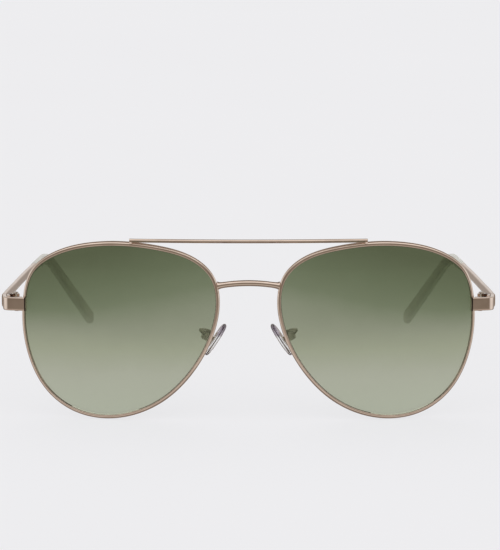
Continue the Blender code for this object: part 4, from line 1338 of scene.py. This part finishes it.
@dataclass
class Temples:
    """The flat metal temples and the clear sleeves over their ends."""

    shop: Workshop
    joints: SideJoints
    thick: float = 1.25
    root_tall: float = 3.9
    blade_tall: float = 2.7
    taper: float = 26.0
    square: float = 4.0
    straight: float = 85.5
    bend_radius: float = 22.0
    tip_length: float = 40.0
    drop: float = math.radians(37.2)
    lean_hinge: float = math.radians(0.8)
    lean_bend: float = math.radians(5.2)
    lean_tip: float = math.radians(15.0)
    leaf_lean_share: float = 0.1
    sleeve_start: float = 68.0
    sleeve_thick: tuple[float, float] = (2.6, 3.0)
    sleeve_tall: tuple[float, float] = (2.5, 5.2)
    sleeve_square: float = 2.6
    core_thick: float = 1.0
    core_tall: float = 1.8
    core_end_wall: float = 3.0

    def inner_x(self) -> float:
        """Inside face of the temple beside its leaf."""
        leaf_angle = self.lean_hinge + self.leaf_lean_share * self.lean_bend
        lean = math.tan(leaf_angle) * self.joints.temple_leaf
        return self.joints.temple_outer_x() - self.thick - lean

    def length(self) -> float:
        """Length along the temple from the hinge to the tip."""
        return self.straight + self.bend_radius * self.drop + self.tip_length

    def frames(self, distances: Sequence[float]) -> list[tuple[Vector, Vector, Vector]]:
        """Places along the temple.

        Args:
            distances: Distances from its front end, in rising order.

        Returns:
            Centre, side and up vector at each distance.
        """
        arc = self.bend_radius * self.drop
        at = self.joints.axis.copy()
        at.x = self.joints.temple_outer_x() - self.thick / 2
        at.y += self.shop.curve.seat_gap / 2
        frames, travelled = [], 0.0
        for distance in distances:
            steps = max(1, int(math.ceil((distance - travelled) / 0.5)))
            step = (distance - travelled) / steps
            for k in range(steps + 1):
                s = travelled + step * k
                share = min(max((s - self.straight) / arc, 0.0), 1.0)
                drop = self.drop * share
                part_way = min(s / self.straight, 1.0)
                lean = self.lean_hinge + (self.lean_bend - self.lean_hinge) * part_way
                lean += (self.lean_tip - self.lean_bend) * share
                ahead = Vector((-math.sin(lean), math.cos(lean) * math.cos(drop),
                                -math.cos(lean) * math.sin(drop)))
                if k < steps:
                    at = at + ahead * step
            travelled = distance
            sine = math.sin(lean)
            side = Vector((math.cos(lean), sine * math.cos(drop), -sine * math.sin(drop)))
            frames.append((at.copy(), side, Vector((0.0, math.sin(drop), math.cos(drop)))))
        return frames

    def build_blades(self) -> None:
        """Forges the temples: a blade that tapers, and the wire that the sleeve covers."""
        shoulder = self.sleeve_start - self.shop.curve.seat_gap
        blade = list(np.linspace(0.0, shoulder, 90))
        core = list(np.linspace(shoulder, self.length() - self.core_end_wall, 80))
        rings, wire = [], []
        for s, (centre, side, up) in zip(blade, self.frames(blade)):
            ease = min(s / self.taper, 1.0)
            tall = self.root_tall + (self.blade_tall - self.root_tall) * ease
            rings.append(oval(centre, side, up, self.thick / 2, tall / 2, 32, self.square))
        for centre, side, up in self.frames(core):
            wire.append(
                oval(centre, side, up, self.core_thick / 2, self.core_tall / 2, 32, self.square)
            )
        forged = Bench.tube("temple_blade", np.array(rings), edge=0.14)
        forged.data.materials.append(self.shop.finishes[Slot.METAL])
        drawn = Bench.tube("temple_wire", np.array(wire), edge=0.2)
        # Painted light: the wire gets a pale, mostly unmetallic finish so that it looks as light as
        # the sleeve around it, instead of showing the dark reflections a bare metal wire would catch.
        painted_light_wire = MetalFinish(
            "wire_painted_light", (0.88, 0.89, 0.86), (0.83, 0.84, 0.81), (0.30, 0.42), bright=0.3
        )
        drawn.data.materials.append(painted_light_wire.make())
        piece = Bench.join((forged, drawn), "temple_blade")
        self.shop.deliver(piece, "temple", Slot.METAL, Carrier.TEMPLE)

    def build_sleeves(self) -> None:
        """Moulds the clear sleeves round the temples' wires, with a softly rounded end."""
        end = self.length()
        span = end - self.sleeve_start
        round_length = self.sleeve_tall[1] / 2
        body = [self.sleeve_start, self.sleeve_start + 0.12, self.sleeve_start + 0.4]
        body += list(np.linspace(self.sleeve_start + 1.0, end - round_length, 80))
        scales = [0.90, 0.97] + [1.0] * (len(body) - 2)
        for angle in np.radians(np.linspace(8.0, 86.0, 12)):
            body.append(end - round_length + round_length * math.sin(angle))
            scales.append(math.cos(angle))
        rings = []
        for s, scale, (centre, side, up) in zip(body, scales, self.frames(body)):
            share = (s - self.sleeve_start) / span
            thick = self.sleeve_thick[0] + (self.sleeve_thick[1] - self.sleeve_thick[0]) * share
            tall = self.sleeve_tall[0] + (self.sleeve_tall[1] - self.sleeve_tall[0]) * share
            rings.append(oval(
                centre, side, up, thick / 2 * scale, tall / 2 * scale, 40, self.sleeve_square
            ))
        piece = Bench.tube("temple_sleeve", np.array(rings))
        crystal = ClearFinish(
            "sleeve_crystal", (0.90, 0.905, 0.88), (0.87, 0.875, 0.85), unbent=0.88, milk=0.5
        )
        self.shop.deliver(piece, "temple_tip", Slot.PLASTIC, Carrier.TEMPLE, finish=crystal.make())


# ------------------------------------------------------------------------------ nose pads


@dataclass
class NosePads:
    """The rocking nose pads, their metal cores, and the arms and boxes that hold them."""

    shop: Workshop
    length: float = 10.9
    width: float = 7.0
    thick: float = 2.0
    slim: float = 0.45
    # Depths below the pad's top where its painted shade starts and where it is full.
    shade_depths: tuple[float, float] = (3.6, 2.6)
    forward: tuple[float, float] = (0.25, 0.25)
    swing: float = math.radians(7.0)
    plan_square: float = 2.3
    slab: float = 0.24
    slant: float = math.radians(34.0)
    splay: float = math.radians(10.0)
    behind_rim: float = 7.8
    below_middle: float = 4.0
    half_spacing: float = 9.9
    pocket: float = 0.7
    plate: tuple[float, float, float] = (5.0, 3.0, 0.5)
    stud: tuple[float, float] = (1.1, 1.3)
    stud_past: float = 0.4
    pivot_out: float = 2.6
    box: tuple[float, float, float] = (2.6, 2.9, 2.5)
    box_wall: float = 0.55
    box_near: float = 1.65
    arm: float = 1.0
    arm_above: float = 3.2
    arm_back: float = 0.1
    arm_leaves: tuple[float, float, float] = (0.15, 1.6, 0.1)
    arm_middle: float = 0.45
    arm_loop: float = 0.6
    arm_lift: float = 0.8
    arm_crown: float = 1.1
    arm_return: tuple[float, float] = (1.3, 0.3)
    solder_reach: float = 0.5
    solder_swell: tuple[float, float] = (0.55, 0.35)
    screw: SlottedScrew = SlottedScrew(0.8, 1.5, 0.4)
    # Painted light: the pad arms and boxes take a pale, mostly unmetallic copy of the plate, so they
    # look lighter than the dark reflections the plated metal catches.
    painted_light_finish: MetalFinish = MetalFinish(
        "arm_painted_light", (0.92, 0.91, 0.86), (0.86, 0.85, 0.80), (0.42, 0.52), bright=0.35
    )

    def frame(self) -> Matrix:
        """Pad axes as columns: X across, Y up its length and Z out of its back."""
        across = Vector((math.sin(self.splay), math.cos(self.splay), 0.0))
        length = Vector((-math.sin(self.slant), 0.0, math.cos(self.slant)))
        length = (length - across * length.dot(across)).normalized()
        outward = length.cross(across)
        if outward.x < 0:
            outward = -outward
        u, v = self.shop.curve.edge(-self.below_middle, False)
        rim = self.shop.curve.point(u, v)
        centre = Vector((self.half_spacing, rim.y + self.behind_rim, rim.z))
        return Matrix.Translation(centre) @ Matrix((across, length, outward)).transposed().to_4x4()

    def set_in_place(self, piece: bpy.types.Object) -> None:
        """Moves a piece from the pad's own axes to the wearing frame and keeps it right way out."""
        Bench.turn(piece, self.frame())
        Bench.close(piece)

    def build_pads(self) -> None:
        """Moulds the clear pads as softly crowned oval slabs."""
        half = (self.thick - self.slim) / 2
        rings = []
        for angle in np.radians(np.linspace(-88.0, 88.0, 25)):
            share = math.cos(angle) ** self.slab
            size = (self.width / 2 * share, self.length / 2 * share)
            level = self.slim / 2 + half * math.sin(angle)
            rings.append(oval((0, 0, level), (1, 0, 0), (0, 1, 0), *size, 56, self.plan_square))
        piece = Bench.tube("nose_pad_moulded", np.array(rings))
        Bench.turn(piece, Matrix.Rotation(self.swing, 4, "Y"))
        Bench.turn(piece, Matrix.Translation(Vector((0.0, self.forward[0], -self.forward[1]))))
        self.set_in_place(piece)
        self.shop.deliver(piece, "nose_pad", Slot.PLASTIC, Carrier.PAD, finish=self.finish(piece))

    def finish(self, piece: bpy.types.Object) -> bpy.types.Material:
        """Clear plastic with painted shade that darkens it towards the pad's upper end.

        Args:
            piece: The pad, in the wearing frame.

        Returns:
            The material.
        """
        levels = [(self.shop.pose.matrix @ vertex.co).z for vertex in piece.data.vertices]
        top = max(levels)
        start, end = (top - depth * MM for depth in self.shade_depths)
        return ClearFinish("pad_crystal", shade_from=start, shade_to=end).make()

    def build_cores(self) -> None:
        """Stamps the plate inside each pad and the stud that the screw passes through."""
        length, width, thick = self.plate
        low = self.thick / 2 - self.pocket + self.shop.curve.seat_gap
        layers = ((0.0, 0.94), (0.12, 1.0), (thick - 0.12, 1.0), (thick, 0.94))
        rings = [oval((0, 0, low + z), (1, 0, 0), (0, 1, 0), width / 2 * k, length / 2 * k, 40, 3.5)
                 for z, k in layers]
        wide, long = self.stud
        top = self.pivot_out + self.stud_past
        plate = Bench.tube("pad_core_stamped", np.array(rings))
        Bench.turn(plate, Matrix.Rotation(self.swing, 4, "Y"))
        parts = [
            plate,
            Bench.block(
                "stud", (-wide / 2, -long / 2, low + thick / 2), (wide / 2, long / 2, top), 0.15
            ),
        ]
        piece = Bench.join(parts, "pad_core_stamped")
        Bench.turn(piece, self.frame())
        self.shop.deliver(piece, "pad_core", Slot.SCREW, Carrier.PAD)

    def build_boxes(self) -> None:
        """Folds the small boxes that the pads rock in, and turns their screws."""
        across, length, deep = self.box
        roof = self.box_near + deep
        piece = Bench.block("pad_box_folded", (-across / 2, -length / 2, self.box_near),
                            (across / 2, length / 2, roof), 0.35, segments=4)
        half = across / 2 - self.box_wall
        cutter = Bench.block(
            "room", (-half, -length, self.box_near - 1.0), (half, length, roof - self.box_wall), 0.0
        )
        Bench.cut(piece, cutter)
        Bench.turn(piece, self.frame())
        self.shop.deliver(piece, "pad_box", Slot.METAL, Carrier.FRONT, finish=self.painted_light_finish.make())
        gap = self.shop.curve.seat_gap
        start = Vector((-across / 2, 0, self.pivot_out))
        end = Vector((across / 2 + gap, 0, self.pivot_out))
        screw = self.screw.build("pad_screw_turned", start, end)
        Bench.turn(screw, self.frame())
        self.shop.deliver(screw, "pad_screw", Slot.SCREW, Carrier.FRONT)

    def build_arms(self) -> None:
        """Bends the arm wires from the rims round their loops to the boxes."""
        frame, curve = self.frame(), self.shop.curve
        roof = self.box_near + self.box[2]
        top = frame @ Vector((0.0, 0.0, roof - 0.1))
        outward = (frame.to_3x3() @ Vector((0, 0, 1))).normalized()
        along = (frame.to_3x3() @ Vector((0, 1, 0))).normalized()
        u, v = curve.edge(self.arm_above - self.below_middle, False)
        root = curve.point(u - curve.rim_wall / 2, v, -curve.rim_depth / 2 + self.arm_back)
        controls = [
            root,
            root + Vector(self.arm_leaves),
            root.lerp(top, self.arm_middle) + along * self.arm_loop + outward * self.arm_lift,
            top + outward * self.arm_crown + along * self.arm_loop,
            top + outward * self.arm_return[0] + along * self.arm_return[1],
            top,
        ]
        route = smooth_route(controls, 110)
        steps = [(b - a).length for a, b in zip(route, route[1:])]
        travel = np.concatenate([[0.0], np.cumsum(steps)])
        hint = Vector((1.0, 0.0, 0.35))
        rings = []
        for i, centre in enumerate(route):
            ahead = (route[min(i + 1, len(route) - 1)] - route[max(i - 1, 0)]).normalized()
            across = (hint - ahead * hint.dot(ahead)).normalized()
            swell = 1.0 + self.solder_swell[0] * math.exp(-travel[i] / self.solder_reach)
            to_box = travel[-1] - travel[i]
            swell += self.solder_swell[1] * math.exp(-to_box / self.solder_reach)
            radius = self.arm / 2 * swell
            rings.append(oval(centre, across, ahead.cross(across), radius, radius, 20))
        piece = Bench.tube("pad_arm_wire", np.array(rings))
        self.shop.deliver(piece, "pad_arm", Slot.METAL, Carrier.FRONT, finish=self.painted_light_finish.make())


# ------------------------------------------------------------------------------ studio


@dataclass
class Studio:
    """A plain pale lit table, soft light from a banded studio, and the camera."""

    floor_half: float = 6.0
    floor_colour: Colour = (0.881, 0.884, 0.908)
    floor_base: Colour = (0.18, 0.18, 0.183)
    glow: float = 0.80
    lamp_strength: float = 0.75
    lamp_angle: float = math.radians(60.0)
    lamp_lean: tuple[float, float] = (math.radians(-28.0), math.radians(-6.0))
    side_level: float = 0.98
    turn: tuple[float, float] = (-0.20, 0.12)
    flank: tuple[float, float] = (0.74, 0.99)
    behind: tuple[tuple[float, Colour], ...] = (
        (0.00, (0.27, 0.23, 0.20)),
        (0.20, (0.32, 0.28, 0.25)),
        (0.42, (0.38, 0.34, 0.31)),
        (0.50, (0.62, 0.58, 0.55)),
        (0.57, (0.80, 0.78, 0.77)),
        (0.64, (0.50, 0.45, 0.41)),
        (0.70, (0.28, 0.24, 0.20)),
        (0.92, (0.24, 0.20, 0.17)),
        (1.00, (0.24, 0.20, 0.17)),
    )
    bands: tuple[tuple[float, Colour], ...] = (
        (0.00, (0.27, 0.23, 0.20)),
        (0.10, (0.34, 0.30, 0.27)),
        (0.20, (0.80, 0.77, 0.74)),
        (0.30, (0.54, 0.49, 0.45)),
        (0.36, (0.38, 0.335, 0.29)),
        (0.42, (0.28, 0.245, 0.21)),
        (0.56, (0.24, 0.205, 0.175)),
        (0.66, (0.38, 0.34, 0.31)),
        (0.76, (0.80, 0.78, 0.76)),
        (0.84, (1.24, 1.22, 1.21)),
        (0.94, (1.24, 1.22, 1.21)),
        (0.985, (0.55, 0.50, 0.46)),
        (1.00, (0.26, 0.22, 0.19)),
    )
    camera_at: tuple[float, float, float] = (0.0, -0.755069, 0.180436)
    target: tuple[float, float, float] = (0.0, -0.068400, 0.044472)
    focal: float = 173.664
    sensor: float = 36.0
    shift_x: float = 0.003

    def build_floor(self) -> None:
        """Lays a softly lit table, with a hardly visible unevenness."""
        Bench.clear()
        bpy.ops.mesh.primitive_grid_add(
            x_subdivisions=8, y_subdivisions=8, size=2.0 * self.floor_half
        )
        floor = bpy.context.object
        floor.name = "studio_floor"
        graph = Graph("studio_floor_finish")
        cloud = graph.noise(3.0, 2.0)
        darker = tuple(0.995 * c for c in self.floor_colour)
        base_darker = tuple(0.985 * c for c in self.floor_base)
        floor.data.materials.append(graph.end(graph.shader("Principled", {
            "Roughness": 0.9,
            "Specular IOR Level": 0.0,
            "Emission Strength": self.glow,
            "Base Color": graph.ramp(cloud, ((0.3, base_darker), (0.7, self.floor_base))),
            "Emission Color": graph.ramp(cloud, ((0.3, darker), (0.7, self.floor_colour))),
        })))
        floor.visible_glossy = False

    def build_light(self) -> None:
        """Sets the studio round the table in bands, with bright sides, and one broad lamp."""
        world = bpy.data.worlds.new("studio_world")
        bpy.context.scene.world = world
        world.use_nodes = True
        graph = Graph.of_tree(world.node_tree)
        axes = graph.axes("Generated")
        height = graph.remap(axes["Z"], -1.0, 1.0)
        ahead, behind = graph.ramp(height, self.bands), graph.ramp(height, self.behind)
        ends = graph.blend(graph.ease(axes["Y"], *self.turn), ahead, behind)
        sideways = graph.ease(graph.calc("ABSOLUTE", axes["X"]), *self.flank)
        background, output = graph.add("Background"), graph.add("OutputWorld")
        graph.join(graph.blend(sideways, ends, (self.side_level,) * 3), background.inputs["Color"])
        graph.join(background.outputs["Background"], output.inputs["Surface"])
        Bench.clear()
        bpy.ops.object.light_add(type="SUN", rotation=(*self.lamp_lean, 0.0))
        lamp = bpy.context.object
        lamp.name = "overhead_softbox"
        lamp.data.energy = self.lamp_strength
        lamp.data.angle = self.lamp_angle
        lamp.visible_glossy = False

    def build_camera(self) -> None:
        """Aims the camera at the lenses."""
        Bench.clear()
        aim = (Vector(self.target) - Vector(self.camera_at)).to_track_quat("-Z", "Y").to_euler()
        bpy.ops.object.camera_add(location=self.camera_at, rotation=aim)
        camera = bpy.context.object
        camera.name = "studio_camera"
        camera.data.sensor_fit = "HORIZONTAL"
        camera.data.sensor_width = self.sensor
        camera.data.lens = self.focal
        camera.data.shift_x = self.shift_x
        camera.data.clip_start = 0.01
        bpy.context.scene.camera = camera
        bpy.context.scene.view_settings.view_transform = "Standard"


def make_finishes(curve: FrontCurve, pose: RestPose) -> dict[Slot, bpy.types.Material]:
    """Makes one material for each slot.

    Args:
        curve: The front's curve, which places the lens gradient.
        pose: The resting pose.

    Returns:
        The materials by slot.
    """
    top = pose.matrix @ curve.point(0.0, curve.lens_height / 2)
    bottom = pose.matrix @ curve.point(0.0, -curve.lens_height / 2)
    lens = LensFinish("green_lens", bottom.z, top.z, curve.centre_x() * MM, curve.lens_width / 2 * MM)
    return {
        Slot.METAL: MetalFinish(
            "rose_plate", (0.74, 0.615, 0.525), (0.66, 0.54, 0.455), (0.03, 0.08)
        ).make(),
        Slot.LENS: lens.make(),
        Slot.PLASTIC: ClearFinish("crystal_plastic").make(),
        Slot.SCREW: MetalFinish(
            "turned_steel", (0.70, 0.64, 0.58), (0.55, 0.49, 0.44), (0.16, 0.30)
        ).make(),
    }


def main() -> None:
    """Builds every piece over the frame, then the studio."""
    logging.basicConfig(level=logging.INFO, format="%(message)s")
    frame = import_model()
    curve = FrontCurve()
    plan = Workshop(curve, RestPose(Matrix.Identity(4)), {})
    pose = RestPose.from_frame(frame["joints"], SideJoints(plan).axis)
    shop = Workshop(curve, pose, make_finishes(curve, pose))
    rims = Rims(shop)
    rims.build_rims()
    rims.build_lenses()
    bridges = Bridges(shop)
    bridges.build_bridge()
    bridges.build_bar()
    joints = SideJoints(shop)
    joints.build_endpieces()
    joints.build_shade_caps()
    joints.build_blocks()
    joints.build_hinges()
    temples = Temples(shop, joints)
    joints.build_temple_leaf(temples.inner_x())
    temples.build_blades()
    temples.build_sleeves()
    pads = NosePads(shop)
    pads.build_pads()
    pads.build_cores()
    pads.build_boxes()
    pads.build_arms()
    studio = Studio()
    studio.build_floor()
    studio.build_light()
    studio.build_camera()


if __name__ == "__main__":
    main()
